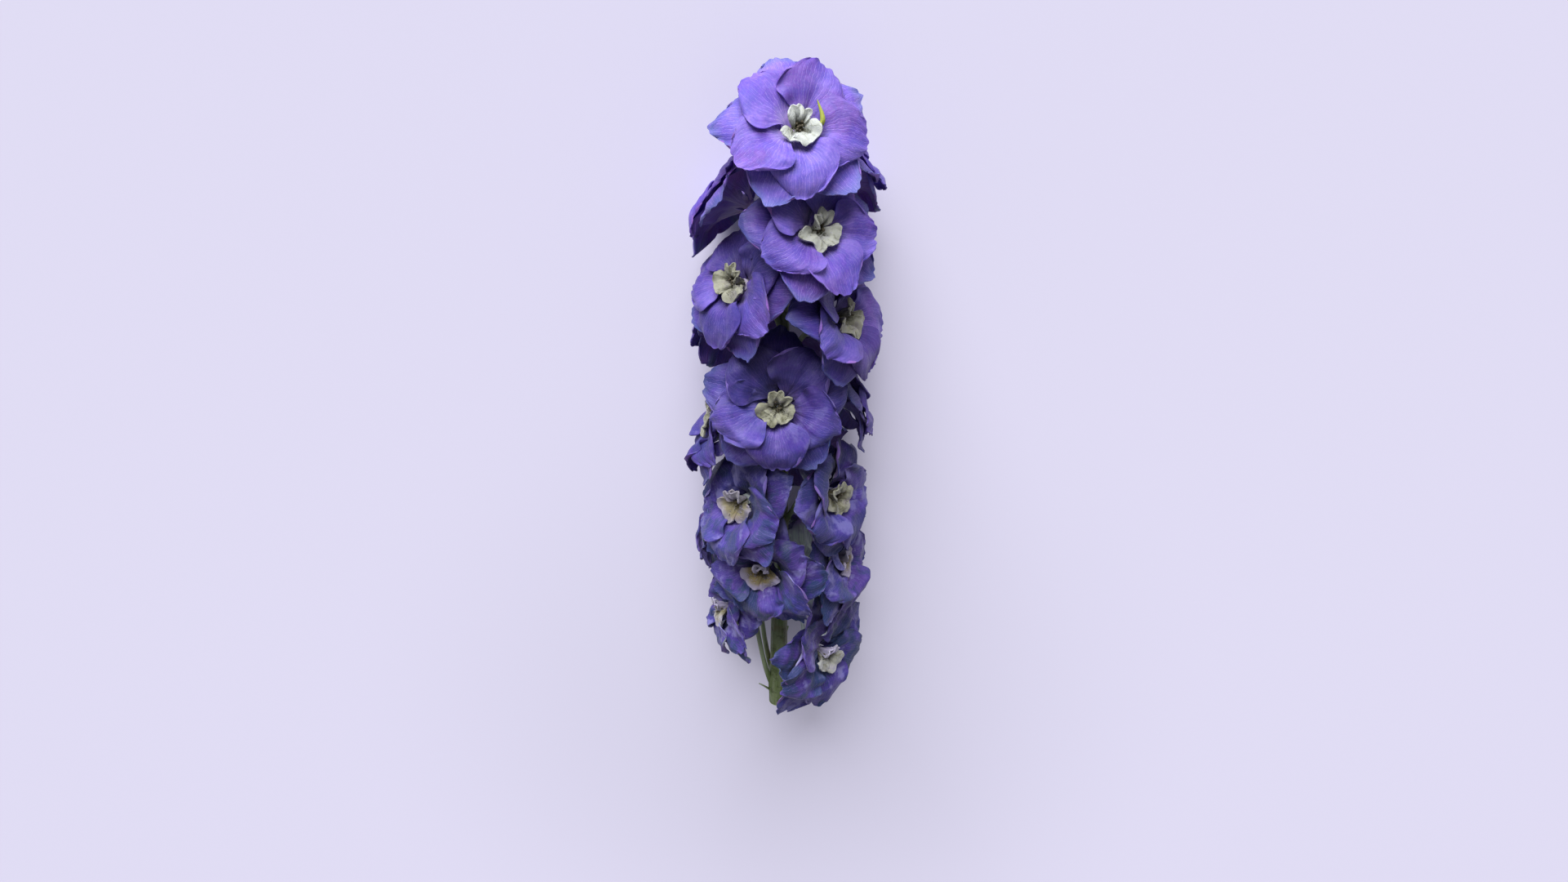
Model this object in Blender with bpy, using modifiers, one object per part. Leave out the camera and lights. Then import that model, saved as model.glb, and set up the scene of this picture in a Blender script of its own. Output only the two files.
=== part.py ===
"""A cut delphinium flower spike, lying on its side.

The stem runs along +Y from its cut end to the tip, +Z is up, and the lowest sepals rest on
the plane z = 0. The florets leave the stem in a spiral, each on its own pedicel. A floret is
two rings of sepals and a backward spur, round a pale bee of four small petals.
All sizes are in metres.
"""

import math
import random
from dataclasses import dataclass
from functools import partial

import bmesh
import bpy
import numpy as np
from mathutils import Matrix, Vector

# Driving dimensions of the spike
STEM_LENGTH = 0.256
STEM_R_CUT = 0.0043
STEM_R_TIP = 0.0018
STEM_POINTS = 12
AXIS_HEIGHT = 0.0296
FLORETS = 20
LOWEST_FLORET = 0.046
FLORET_STEP = 0.0119
FIRST_TURN = math.radians(62)
SPIRAL_TURN = math.radians(-137.5)
HUB_OUT_LOW = 0.0194
HUB_OUT_TIP = 0.0125
TILT_LOW = math.radians(2)
TILT_TIP = math.radians(38)
SIZE_LOW = 0.95
SIZE_TIP = 0.87

# Florets that lean away from their place on the spiral: along the stem, and round it
LEANS = {
    0: (-0.002, math.radians(-14)),
    1: (0.004, math.radians(7.5)),
    2: (-0.006, math.radians(6)),
    3: (0.013, math.radians(-24)),
    4: (-0.001, math.radians(2)),
    5: (-0.020, math.radians(-18)),
    6: (0.006, math.radians(5)),
    8: (-0.017, math.radians(11)),
    9: (0.000, math.radians(12)),
    10: (-0.003, math.radians(-15)),
    11: (-0.008, math.radians(7)),
    12: (0.001, math.radians(8)),
    13: (0.000, math.radians(-11)),
    14: (0.003, math.radians(18)),
    16: (0.001, math.radians(8)),
    17: (-0.006, math.radians(0)),
    18: (-0.008, math.radians(20)),
    19: (0.000, math.radians(42)),
}

# Old florets that have shrunk, as a share of their full size
SHRUNK = {1: 0.86, 4: 0.9}

# A floret
RING_COUNT = 5
SEPAL_LENGTH = (0.0302, 0.0276)  # outer ring, inner ring
SEPAL_HALF_WIDTH = (0.0160, 0.0150)
SEPAL_POINT = (0.13, 0.0)  # how far a midrib runs past a round tip, as a share of the length
SEPAL_SLOPE_TIP = (math.radians(-24), math.radians(-14))
SEPAL_THICKNESS = 0.0007
RING_RISE = 0.0034
OVERLAP_LIFT = 0.0012
SLOPE_ROOT = math.radians(50)
ROOT_OUT = 0.0028
HUB_R = 0.0021
HUB_BACK = -0.0012
HUB_FRONT = 0.0042
SEAT_GAP = 0.0003
SPUR_PATH = ((0, 0.0012, 0.0), (0, 0.0040, -0.0036), (0, 0.0090, -0.0064), (0, 0.0142, -0.0068))
SPUR_R = 0.0014
SPUR_TAPER = 0.62  # how much of its radius the spur loses
HUB_SIDES = 5

# The bee: petals in pairs either side of the floret's midline. Each has its angle, its
# length, and half its width as a share of the distance from the floret's axis
BEE_PETALS = ((math.radians(62), 0.0104, 0.50), (math.radians(118), 0.0104, 0.50),
              (math.radians(224), 0.0094, 0.72), (math.radians(316), 0.0094, 0.72))
BEE_SLOPE_ROOT = math.radians(76)
BEE_SLOPE_TIP = math.radians(32)
BEE_ROOT_OUT = 0.0013
BEE_ROOT_UP = 0.0006
BEE_CORE_R = (0.0011, 0.0008)
BEE_CORE_DEPTH = 0.0048
BEE_CORE_SIDES = 4
BEE_CELLS = (1, 2)

# Pedicels and bracts
PEDICEL_R = 0.0011
PEDICEL_FOOT_R = 0.0014
PEDICEL_POINTS = 4
PEDICEL_INSET = 0.001
PEDICEL_SWING = (0.006, 0.18)  # how far out it bends: a length, and a share of a long climb
PEDICEL_LONG = 0.045  # the climb past which a pedicel leaves the stem sooner
PEDICEL_CLIMB = (0.45, 0.25)  # where on its climb it bends, on a short and on a long pedicel
PEDICEL_NECK = 0.003  # the straight piece behind the hub, and the bend before it
PEDICEL_BEND = 0.004
PEDICEL_LOW = -0.0014  # off the middle of the hub's back, away from the spur
PEDICEL_DROP_LOW = 0.038
PEDICEL_DROP_TIP = 0.0185
PEDICEL_FEET = {0: 0.010, 1: 0.007, 4: 0.012}  # how far up the stem the longest pedicels start
BRACTS = 4
BRACT_LENGTH = 0.010
BRACT_HALF_WIDTH = 0.0011
BRACT_CELLS = (1, 2)

# Where neighbouring florets press on each other and on the surface below
SECTORS = 6
PARTING_GAP = 0.0014
PARTING_PASSES = 20
PARTING_DIRECTIONS = 400
PARTING_REACH = 0.075
BEND_FROM = 0.007
BEND_FULL = 0.020
PRESS_DEPTH = 0.0020
PRESS_SNAP = 0.0003
PRESS_STACK = (0.0, 0.0010, 0.0, 0.0010, 0.0020)
PRESS_OUTER = 0.0030

BLADE_CELLS = (2, 3)  # across and along a sepal
FLAT_ANGLE = math.radians(2)
SEED = 7


@dataclass
class Floret:
    """One floret's place, size and shape. Its frame has +Z out of the face and +Y up the stem."""

    frame: Matrix
    root: Vector
    size: float
    droop: float
    saddle: float
    saddle_turn: float
    wave: float
    wave_turn: float
    bends: np.ndarray


@dataclass
class Sepal:
    """One sepal of a floret, at its angle round the floret's axis."""

    angle: float
    length: float
    half_width: float
    point: float
    ring: int
    pressed: float


def stem_point(along, out=0.0, turn=0.0):
    """A point beside the stem's axis: turn 0 is straight up, and positive turns towards +X."""
    return Vector((out * math.sin(turn), along, AXIS_HEIGHT + out * math.cos(turn)))


def floret_frame(along, out, turn, tilt, roll):
    """The frame of a floret whose hub is that far out from the stem's axis."""
    outward = Vector((math.sin(turn), 0, math.cos(turn)))
    stemward = Vector((0, 1, 0))
    face = math.cos(tilt) * outward + math.sin(tilt) * stemward
    up = math.cos(tilt) * stemward - math.sin(tilt) * outward
    turned = Matrix((up.cross(face), up, face)).transposed() @ Matrix.Rotation(roll, 3, "Z")
    return Matrix.Translation(stem_point(along, out, turn)) @ turned.to_4x4()


def spiral_florets():
    """Every floret on the spike, from the lowest to the tip."""
    florets = []
    for index in range(FLORETS):
        draw = random.Random(SEED * 100 + index)
        lean_along, lean_turn = LEANS.get(index, (0.0, 0.0))
        along = LOWEST_FLORET + FLORET_STEP * index + lean_along
        turn = FIRST_TURN + SPIRAL_TURN * index + lean_turn
        share = index / (FLORETS - 1)
        out = HUB_OUT_LOW + (HUB_OUT_TIP - HUB_OUT_LOW) * share**6
        tilt = TILT_LOW + (TILT_TIP - TILT_LOW) * share**1.5 + math.radians(draw.uniform(-4, 4))
        drop = PEDICEL_DROP_LOW + (PEDICEL_DROP_TIP - PEDICEL_DROP_LOW) * share**0.5
        florets.append(Floret(
            frame=floret_frame(along, out, turn, tilt, math.radians(draw.uniform(-12, 12))),
            root=stem_point(PEDICEL_FEET.get(index, along - drop)),
            size=(SIZE_LOW + (SIZE_TIP - SIZE_LOW) * share**3) * draw.uniform(0.97, 1.03)
            * SHRUNK.get(index, 1.0),
            droop=math.radians(draw.uniform(-8, 6)),
            saddle=draw.uniform(0.0006, 0.0018),
            saddle_turn=draw.uniform(0, 2 * math.pi),
            wave=draw.uniform(0.0005, 0.0010),
            wave_turn=draw.uniform(0, 2 * math.pi),
            bends=np.zeros((SECTORS, 3)),
        ))
    return florets


def sepals_of(floret):
    """The two rings of a floret: the outer one starts straight up, over the spur."""
    step = 2 * math.pi / RING_COUNT
    return [
        Sepal(
            angle=math.pi / 2 + step * (k + 0.5 * ring),
            length=SEPAL_LENGTH[ring] * floret.size,
            half_width=SEPAL_HALF_WIDTH[ring] * floret.size,
            point=SEPAL_POINT[ring],
            ring=ring,
            pressed=SEPAL_THICKNESS / 2 + PRESS_STACK[k] + (1 - ring) * PRESS_OUTER,
        )
        for ring in (0, 1)
        for k in range(RING_COUNT)
    ]


def arc_profile(share, length, slope_root, slope_tip, root_out):
    """Distance from the floret's axis, height and slope, at a share of an arc's length."""
    bend = slope_tip - slope_root
    slope = slope_root + bend * share
    out = root_out + length * (np.sin(slope) - math.sin(slope_root)) / bend
    height = length * (math.cos(slope_root) - np.cos(slope)) / bend
    return out, height, slope


def blade_width(v):
    """A sepal's width along its length, as a share of the widest."""
    return 0.07 + 3.34 * v**2 - 0.27 * v**3 - 2.50 * v**4


def smooth_step(x):
    x = np.clip(x, 0, 1)
    return x * x * (3 - 2 * x)


def rest_points(floret, sepal, u, v):
    """Points of a sepal's middle surface in the floret's frame, with no neighbour pressing on it.

    u runs across from -1 to 1, and v from the root at 0 to the tip at 1. Also returns each
    point's angle round the floret's axis and its distance from it, which place a bend.
    """
    share = v * (1 - 0.2 * u**2) + sepal.point * v**4 * (1 - np.abs(u)) ** 2
    slope_tip = SEPAL_SLOPE_TIP[sepal.ring] + floret.droop
    out, height, slope = arc_profile(share, sepal.length, SLOPE_ROOT, slope_tip, ROOT_OUT)
    height = height + sepal.ring * RING_RISE
    angle = sepal.angle + u * sepal.half_width * blade_width(v) / out
    lift = OVERLAP_LIFT * u * smooth_step(share / 0.3)
    reach = out / (SEPAL_LENGTH[0] * floret.size)
    field = floret.saddle * reach**2 * np.cos(2 * angle + floret.saddle_turn)
    field = field + floret.wave * reach**3 * np.cos(5 * angle + floret.wave_turn)
    flat = out - lift * np.sin(slope)
    points = np.stack(
        [flat * np.cos(angle), flat * np.sin(angle), height + lift * np.cos(slope) + field], -1
    )
    return points, angle, out


def sector_weights(angle):
    """How much of each sector's bend a point at this angle takes."""
    step = 2 * math.pi / SECTORS
    offsets = (angle[..., None] - np.arange(SECTORS) * step + math.pi) % (2 * math.pi) - math.pi
    return smooth_step(1 - np.abs(offsets) / step)


def bend_weight(out):
    return np.clip((out - BEND_FROM) / (BEND_FULL - BEND_FROM), 0, 1)


def to_world(frame, points):
    turned = np.array(frame.to_3x3())
    return points @ turned.T + np.array(frame.translation)


def sepal_points(floret, sepal, u, v):
    """Points of a sepal's middle surface in the part's frame, bent and pressed."""
    points, angle, out = rest_points(floret, sepal, u, v)
    world = to_world(floret.frame, points)
    world = world + bend_weight(out)[..., None] * (sector_weights(angle) @ floret.bends)
    world[..., 2] = np.maximum(world[..., 2], sepal.pressed)
    return world


def bee_points(floret, angle, length, spread, u, v):
    """Points of the middle surface of one petal of a bee, in the part's frame."""
    out, height, _ = arc_profile(v, length * floret.size, BEE_SLOPE_ROOT, BEE_SLOPE_TIP,
                                 BEE_ROOT_OUT)
    side = u * out * spread * (0.75 + 0.25 * v)
    flat = [out * math.cos(angle) - side * math.sin(angle),
            out * math.sin(angle) + side * math.cos(angle),
            HUB_FRONT + SEAT_GAP + BEE_ROOT_UP + height]
    return to_world(floret.frame, np.stack(flat, -1))


def bract_points(floret, outward, u, v):
    """Points of the middle surface of the bract under a floret's pedicel, in the part's frame."""
    side = outward.cross(Vector((0, 1, 0)))
    out = STEM_R_CUT / 2 + v * BRACT_LENGTH * (0.55 + 0.2 * v)
    climb = v * BRACT_LENGTH * 0.75 - 0.0015
    width = u * BRACT_HALF_WIDTH * (1 - 0.8 * v)
    return (np.array(floret.root) + out[:, None] * np.array(outward)
            + climb[:, None] * np.array((0, 1, 0)) + width[:, None] * np.array(side))


def sphere_directions(count):
    """Unit vectors spread evenly over a sphere."""
    k = np.arange(count) + 0.5
    height = 1 - 2 * k / count
    turn = math.pi * (1 + 5**0.5) * k
    flat = np.sqrt(1 - height**2)
    return np.stack([flat * np.cos(turn), flat * np.sin(turn), height], -1)


class Cloud:
    """The sample points of one floret's sepals, and what places their bends."""

    def __init__(self, floret):
        across, along = BLADE_CELLS
        u, v = np.meshgrid(np.linspace(-1, 1, across + 1), np.linspace(0, 1, along + 1))
        parts = [rest_points(floret, sepal, u.ravel(), v.ravel()) for sepal in sepals_of(floret)]
        points, angle, out = (np.concatenate(column) for column in zip(*parts))
        self.floret = floret
        self.rest = to_world(floret.frame, points)
        self.sectors = sector_weights(angle)
        self.weight = bend_weight(out)

    def points(self):
        return self.rest + self.weight[:, None] * (self.sectors @ self.floret.bends)

    def push_back(self, direction, limit):
        """Bends the sectors whose points pass the plane at limit along direction."""
        excess = self.points() @ direction - limit
        for sector in range(SECTORS):
            reached = (self.sectors[:, sector] > 0.2) & (self.weight > 0.2) & (excess > 0)
            if reached.any():
                self.floret.bends[sector] -= excess[reached].max() * direction


def part_florets(florets):
    """Bends the sepals of neighbouring florets to either side of the plane that parts them best."""
    clouds = [Cloud(floret) for floret in florets]
    directions = sphere_directions(PARTING_DIRECTIONS)
    down = np.array((0.0, 0.0, -1.0))
    for _ in range(PARTING_PASSES):
        for cloud in clouds:
            cloud.push_back(down, PRESS_DEPTH - SEPAL_THICKNESS / 2)
        for i, low in enumerate(clouds):
            for high in clouds[i + 1:]:
                apart = low.floret.frame.translation - high.floret.frame.translation
                if apart.length > PARTING_REACH:
                    continue
                reach_low = (low.points() @ directions.T).max(axis=0)
                reach_high = (high.points() @ directions.T).min(axis=0)
                best = int(np.argmax(reach_high - reach_low))
                if reach_high[best] - reach_low[best] < PARTING_GAP:
                    middle = (reach_high[best] + reach_low[best]) / 2
                    low.push_back(directions[best], middle - PARTING_GAP / 2)
                    high.push_back(-directions[best], -middle - PARTING_GAP / 2)


def material(name, colour, roughness):
    """A Principled material of one colour."""
    made = bpy.data.materials.new(name)
    made.use_nodes = True
    shader = made.node_tree.nodes["Principled BSDF"]
    shader.inputs["Base Color"].default_value = (*colour, 1)
    shader.inputs["Roughness"].default_value = roughness
    return made


def new_object(name, mesh, collection):
    made = bpy.data.objects.new(name, mesh)
    collection.objects.link(made)
    return made


def baked_mesh(source):
    """The object's mesh with its modifiers applied, in the part's frame, its caps welded."""
    bpy.context.view_layer.update()
    graph = bpy.context.evaluated_depsgraph_get()
    mesh = bpy.data.meshes.new_from_object(source.evaluated_get(graph))
    mesh.transform(source.matrix_world)
    cleaned = bmesh.new()
    cleaned.from_mesh(mesh)
    bmesh.ops.remove_doubles(cleaned, verts=cleaned.verts, dist=1e-6)
    cleaned.to_mesh(mesh)
    cleaned.free()
    return mesh


def whorl(surfaces, cells, collection):
    """Thin petals over surfaces such as point(u, v), split alike on both faces.

    Two or more petals, given in order round their axis, are closed at their roots by a disc.
    """
    sheets = bmesh.new()
    roots = []
    for surface in surfaces:
        grid = bmesh.ops.create_grid(sheets, x_segments=cells[0], y_segments=cells[1], size=1)
        u = np.array([vertex.co.x for vertex in grid["verts"]])
        v = np.array([(vertex.co.y + 1) / 2 for vertex in grid["verts"]])
        root = [vertex for vertex in grid["verts"] if vertex.co.y < -0.99]
        roots.extend(sorted(root, key=lambda vertex: vertex.co.x))
        for vertex, point in zip(grid["verts"], surface(u, v)):
            vertex.co = point
    if len(surfaces) > 1:
        sheets.faces.new(reversed(roots))
    bmesh.ops.triangulate(sheets, faces=sheets.faces)
    mesh = bpy.data.meshes.new("whorl")
    sheets.to_mesh(mesh)
    sheets.free()
    sheet = new_object("whorl", mesh, collection)
    skin = sheet.modifiers.new("thickness", "SOLIDIFY")
    skin.thickness = SEPAL_THICKNESS
    skin.offset = 0
    sheet.data = baked_mesh(sheet)
    sheet.modifiers.clear()
    for vertex in sheet.data.vertices:
        if vertex.co.z < PRESS_SNAP:
            vertex.co.z = 0
    return sheet


def rod(path, radii, sides_step, collection):
    """A tapering rod along a path of points, as a closed mesh."""
    curve = bpy.data.curves.new("rod", "CURVE")
    curve.dimensions = "3D"
    curve.bevel_depth = 1
    curve.bevel_resolution = sides_step
    curve.use_fill_caps = True
    spline = curve.splines.new("POLY")
    spline.points.add(len(path) - 1)
    for point, place, radius in zip(spline.points, path, radii):
        point.co = (*place, 1)
        point.radius = radius
    line = new_object("rod", curve, collection)
    solid = new_object("rod_solid", baked_mesh(line), collection)
    bpy.data.objects.remove(line)
    return solid


def cone(radius_low, radius_high, low, high, sides, frame, collection):
    """A cone along a frame's Z, from the height low to the height high."""
    shape = bmesh.new()
    bmesh.ops.create_cone(shape, segments=sides, radius1=radius_low, radius2=radius_high,
                          depth=high - low, cap_ends=True)
    mesh = bpy.data.meshes.new("cone")
    shape.to_mesh(mesh)
    shape.free()
    mesh.transform(frame @ Matrix.Translation((0, 0, (low + high) / 2)))
    return new_object("cone", mesh, collection)


def keep_outer_shell(mesh):
    """Drops the loose scraps and sealed hollows that a union can leave beside its main shell."""
    body = bmesh.new()
    body.from_mesh(mesh)
    unseen = set(body.verts)
    shells = []
    while unseen:
        shell = {unseen.pop()}
        edge_of_shell = list(shell)
        while edge_of_shell:
            vertex = edge_of_shell.pop()
            for edge in vertex.link_edges:
                other = edge.other_vert(vertex)
                if other in unseen:
                    unseen.discard(other)
                    shell.add(other)
                    edge_of_shell.append(other)
        shells.append(shell)
    shells.sort(key=len)
    for shell in shells[:-1]:
        bmesh.ops.delete(body, geom=list(shell), context="VERTS")
    body.to_mesh(mesh)
    body.free()


def fuse(core, repeats, name, finish, frame, parts):
    """Joins the objects of a collection to a core in one solid, placed by its own frame."""
    union = core.modifiers.new("union", "BOOLEAN")
    union.operation = "UNION"
    union.operand_type = "COLLECTION"
    union.solver = "EXACT"
    union.collection = repeats
    flat = core.modifiers.new("flat", "DECIMATE")
    flat.decimate_type = "DISSOLVE"
    flat.angle_limit = FLAT_ANGLE
    mesh = baked_mesh(core)
    keep_outer_shell(mesh)
    for used in [core, *repeats.objects]:
        bpy.data.objects.remove(used)
    bpy.data.collections.remove(repeats)
    mesh.transform(frame.inverted())
    mesh.materials.clear()
    mesh.materials.append(finish)
    whole = new_object(name, mesh, parts)
    whole.matrix_world = frame
    return whole


def bezier(start, leave, arrive, end, count):
    """Points along a cubic curve."""
    points = []
    for k in range(count):
        t = k / (count - 1)
        points.append(start * (1 - t) ** 3 + leave * 3 * t * (1 - t) ** 2
                      + arrive * 3 * t**2 * (1 - t) + end * t**3)
    return points


def build_sepals(floret, name, finish, parts, work):
    """The sepals and the spur of one floret, joined at its hub."""
    repeats = bpy.data.collections.new("repeats")
    bpy.context.scene.collection.children.link(repeats)
    for ring in (0, 1):
        surfaces = [partial(sepal_points, floret, sepal) for sepal in sepals_of(floret)
                    if sepal.ring == ring]
        whorl(surfaces, BLADE_CELLS, repeats)
    path = [floret.frame @ (Vector(place) * floret.size) for place in SPUR_PATH]
    taper = np.linspace(SPUR_R, SPUR_R * (1 - SPUR_TAPER), len(path))
    rod(path, taper, 0, repeats)
    hub = cone(HUB_R, HUB_R, HUB_BACK, HUB_FRONT, HUB_SIDES, floret.frame, work)
    fuse(hub, repeats, name, finish, floret.frame, parts)


def build_bee(floret, name, finish, parts, work):
    """The four small petals and the stamens in the throat of one floret."""
    repeats = bpy.data.collections.new("repeats")
    bpy.context.scene.collection.children.link(repeats)
    base = HUB_FRONT + SEAT_GAP
    whorl([partial(bee_points, floret, *petal) for petal in BEE_PETALS], BEE_CELLS, repeats)
    core = cone(*BEE_CORE_R, base, base + BEE_CORE_DEPTH, BEE_CORE_SIDES, floret.frame, work)
    fuse(core, repeats, name, finish, floret.frame, parts)


def build_stem(florets, finish, parts, work):
    """The stem with every pedicel and the bract at each pedicel's foot, grown as one."""
    repeats = bpy.data.collections.new("repeats")
    bpy.context.scene.collection.children.link(repeats)
    for index, floret in enumerate(florets):
        face = floret.frame.to_3x3() @ Vector((0, 0, 1))
        hub = floret.frame @ Vector((0, PEDICEL_LOW * floret.size, 0))
        end = hub + face * (HUB_BACK - SEAT_GAP)
        outward = Vector((hub.x, 0, hub.z - AXIS_HEIGHT)).normalized()
        rise = hub.y - floret.root.y
        foot = floret.root + outward * PEDICEL_INSET
        long = rise > PEDICEL_LONG
        swing = PEDICEL_SWING[1] * rise if long else PEDICEL_SWING[0]
        leave = floret.root + outward * swing + Vector((0, rise * PEDICEL_CLIMB[long], 0))
        neck = end - face * PEDICEL_NECK
        path = bezier(foot, leave, neck - face * PEDICEL_BEND, neck, PEDICEL_POINTS) + [end]
        taper = np.linspace(PEDICEL_FOOT_R, PEDICEL_R, len(path))
        rod(path, taper, 0, repeats)
        if index < BRACTS:
            whorl([partial(bract_points, floret, outward)], BRACT_CELLS, repeats)
    path = [stem_point(along) for along in np.linspace(0, STEM_LENGTH, STEM_POINTS)]
    radii = np.linspace(STEM_R_CUT, STEM_R_TIP, STEM_POINTS)
    core = rod(path, radii, 2, work)
    fuse(core, repeats, "stem", finish, Matrix.Translation(stem_point(0)), parts)


def centre_on_origin(parts):
    """Moves the parts along the surface so that the middle of their box is over the origin."""
    bpy.context.view_layer.update()
    corners = [part.matrix_world @ vertex.co for part in parts.objects
               for vertex in part.data.vertices]
    middle = [(min(c[i] for c in corners) + max(c[i] for c in corners)) / 2 for i in (0, 1)]
    for part in parts.objects:
        part.location -= Vector((*middle, 0))


def main():
    for old in list(bpy.data.objects):
        bpy.data.objects.remove(old)
    parts = bpy.data.collections.new("delphinium_spike")
    work = bpy.data.collections.new("work")
    bpy.context.scene.collection.children.link(parts)
    bpy.context.scene.collection.children.link(work)
    sepal_finish = material("sepal", (0.16, 0.08, 0.52), 0.6)
    bee_finish = material("bee", (0.78, 0.80, 0.66), 0.6)
    stem_finish = material("stem", (0.22, 0.32, 0.09), 0.55)

    florets = spiral_florets()
    part_florets(florets)
    for index, floret in enumerate(florets, start=1):
        build_sepals(floret, f"floret_{index:02d}_sepals", sepal_finish, parts, work)
        build_bee(floret, f"floret_{index:02d}_bee", bee_finish, parts, work)
    build_stem(florets, stem_finish, parts, work)
    bpy.data.collections.remove(work)
    centre_on_origin(parts)


main()
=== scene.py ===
"""A cut delphinium flower spike lying on its side: its florets, bees and stem, and the studio.

The stem runs along +Y from its cut end to the tip and +Z is up. Lengths are in metres. On a
petal, u is the place across, from -1 to 1, and v the place along, from the root at 0 to the tip
at 1.
"""

import logging
import math
import random
from dataclasses import dataclass, field, replace
from enum import Enum
from typing import Any, Callable, Iterator, Sequence

import bpy
import numpy as np
from mathutils import Matrix, Vector


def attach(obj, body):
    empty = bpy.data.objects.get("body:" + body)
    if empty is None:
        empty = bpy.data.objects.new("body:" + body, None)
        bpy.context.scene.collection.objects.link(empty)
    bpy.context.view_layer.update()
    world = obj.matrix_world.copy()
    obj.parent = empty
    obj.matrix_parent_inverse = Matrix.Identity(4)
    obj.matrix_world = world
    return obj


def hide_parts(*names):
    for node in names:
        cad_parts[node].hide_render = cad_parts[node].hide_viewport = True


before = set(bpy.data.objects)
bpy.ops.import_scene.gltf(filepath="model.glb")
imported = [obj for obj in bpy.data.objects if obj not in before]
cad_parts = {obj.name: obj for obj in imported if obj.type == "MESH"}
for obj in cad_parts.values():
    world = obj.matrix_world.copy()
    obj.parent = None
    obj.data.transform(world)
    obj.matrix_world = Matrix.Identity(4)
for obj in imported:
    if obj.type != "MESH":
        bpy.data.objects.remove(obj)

log = logging.getLogger("delphinium")

Array = np.ndarray
Colour = tuple[float, float, float]
Point = tuple[float, float, float]
Material = bpy.types.Material
Piece = bpy.types.Object
BODY = "root"
UV_MAP = "UVMap"
SHADE = "shade"
WHITE = (1.0, 1.0, 1.0)
BLACK = (0.0, 0.0, 0.0)
FULL_TURN = 2 * math.pi


class Ring(Enum):
    """The two rings of sepals in a floret."""

    OUTER = 0
    INNER = 1


class Face(Enum):
    """The two faces of a sepal, and the material index of each."""

    FRONT = 0
    BACK = 1


def smooth_step(x: Array) -> Array:
    """A smooth ramp from 0 at 0 to 1 at 1."""
    x = np.clip(x, 0, 1)
    return x * x * (3 - 2 * x)


def soft_excess(x: Array, width: float) -> Array:
    """How far x is above 0, rounded off over a width either side of 0."""
    return np.where(x < -width, 0, np.where(x > width, x, (x + width) ** 2 / (4 * width)))


def bump_at(x: Array, middle: float, width: float) -> Array:
    """A rounded peak of height 1 at the middle."""
    return np.exp(-(((x - middle) / width) ** 2))


def deselect_all() -> None:
    """Leaves edit mode and clears the selection."""
    if bpy.context.object and bpy.context.object.mode != "OBJECT":
        bpy.ops.object.mode_set(mode="OBJECT")
    bpy.ops.object.select_all(action="DESELECT")


def activate(piece: Piece) -> None:
    """Makes one object the only selected one and the active one.

    Args:
        piece: The object.
    """
    deselect_all()
    piece.select_set(True)
    bpy.context.view_layer.objects.active = piece


def join(pieces: Sequence[Piece], name: str) -> Piece:
    """Joins pieces into one object.

    Args:
        pieces: The objects to join. The first one keeps its material slots.
        name: The joined object's name.

    Returns:
        The joined object.
    """
    activate(pieces[0])
    for piece in pieces[1:]:
        piece.select_set(True)
    bpy.ops.object.join()
    whole = bpy.context.object
    whole.name = name
    whole.data.name = name
    return whole


def thicken(sheet: Piece, wall: float, **settings: Any) -> None:
    """Gives a sheet its wall, half of it to either side, and applies the modifier.

    Args:
        sheet: The open sheet.
        wall: How thick the wall is.
        settings: Further settings of the modifier.
    """
    activate(sheet)
    modifier = sheet.modifiers.new("wall", "SOLIDIFY")
    modifier.thickness = wall
    modifier.offset = 0.0
    for key, value in settings.items():
        setattr(modifier, key, value)
    bpy.ops.object.modifier_apply(modifier=modifier.name)


def paint(piece: Piece, *materials: Material) -> None:
    """Gives a piece these materials in place of its own.

    Args:
        piece: The piece.
        materials: The materials, in the order of their slots.
    """
    piece.data.materials.clear()
    for material in materials:
        piece.data.materials.append(material)


def smooth(piece: Piece, degrees: float) -> Piece:
    """Shades a piece smooth except at sharp edges.

    Args:
        piece: The piece.
        degrees: The angle past which an edge is sharp.

    Returns:
        The piece.
    """
    activate(piece)
    bpy.ops.object.shade_smooth_by_angle(angle=math.radians(degrees))
    return piece


def coordinates(piece: Piece) -> Array:
    """The vertices of a piece, one row each.

    Args:
        piece: The piece.

    Returns:
        An array of three columns.
    """
    flat = np.zeros(len(piece.data.vertices) * 3)
    piece.data.vertices.foreach_get("co", flat)
    return flat.reshape(-1, 3)


def place(piece: Piece, points: Array) -> None:
    """Moves the vertices of a piece to the given points."""
    piece.data.vertices.foreach_set("co", np.ascontiguousarray(points, dtype=float).ravel())
    piece.data.update()


def mark(piece: Piece, shade: Any, painted_shade: Any = 0.0, places: Any = None) -> None:
    """Writes what the finishes read from a piece.

    Args:
        piece: The piece.
        shade: Three marks for the whole piece or for each vertex.
        painted_shade: How much painted shade it takes, by how deep it stands under other florets,
            as one number or more.
        places: One place on the UV map, or one for each corner. None keeps the map.
    """
    marks = np.zeros((len(piece.data.vertices), 4))
    marks[:, :3] = shade
    marks[:, 3] = painted_shade
    piece.data.attributes.new(SHADE, "FLOAT_COLOR", "POINT").data.foreach_set(
        "color", marks.ravel())
    if places is not None:
        corners = np.zeros((len(piece.data.loops), 2))
        corners[:] = places
        uv = piece.data.uv_layers.get(UV_MAP) or piece.data.uv_layers.new(name=UV_MAP)
        uv.data.foreach_set("uv", corners.ravel())


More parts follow.
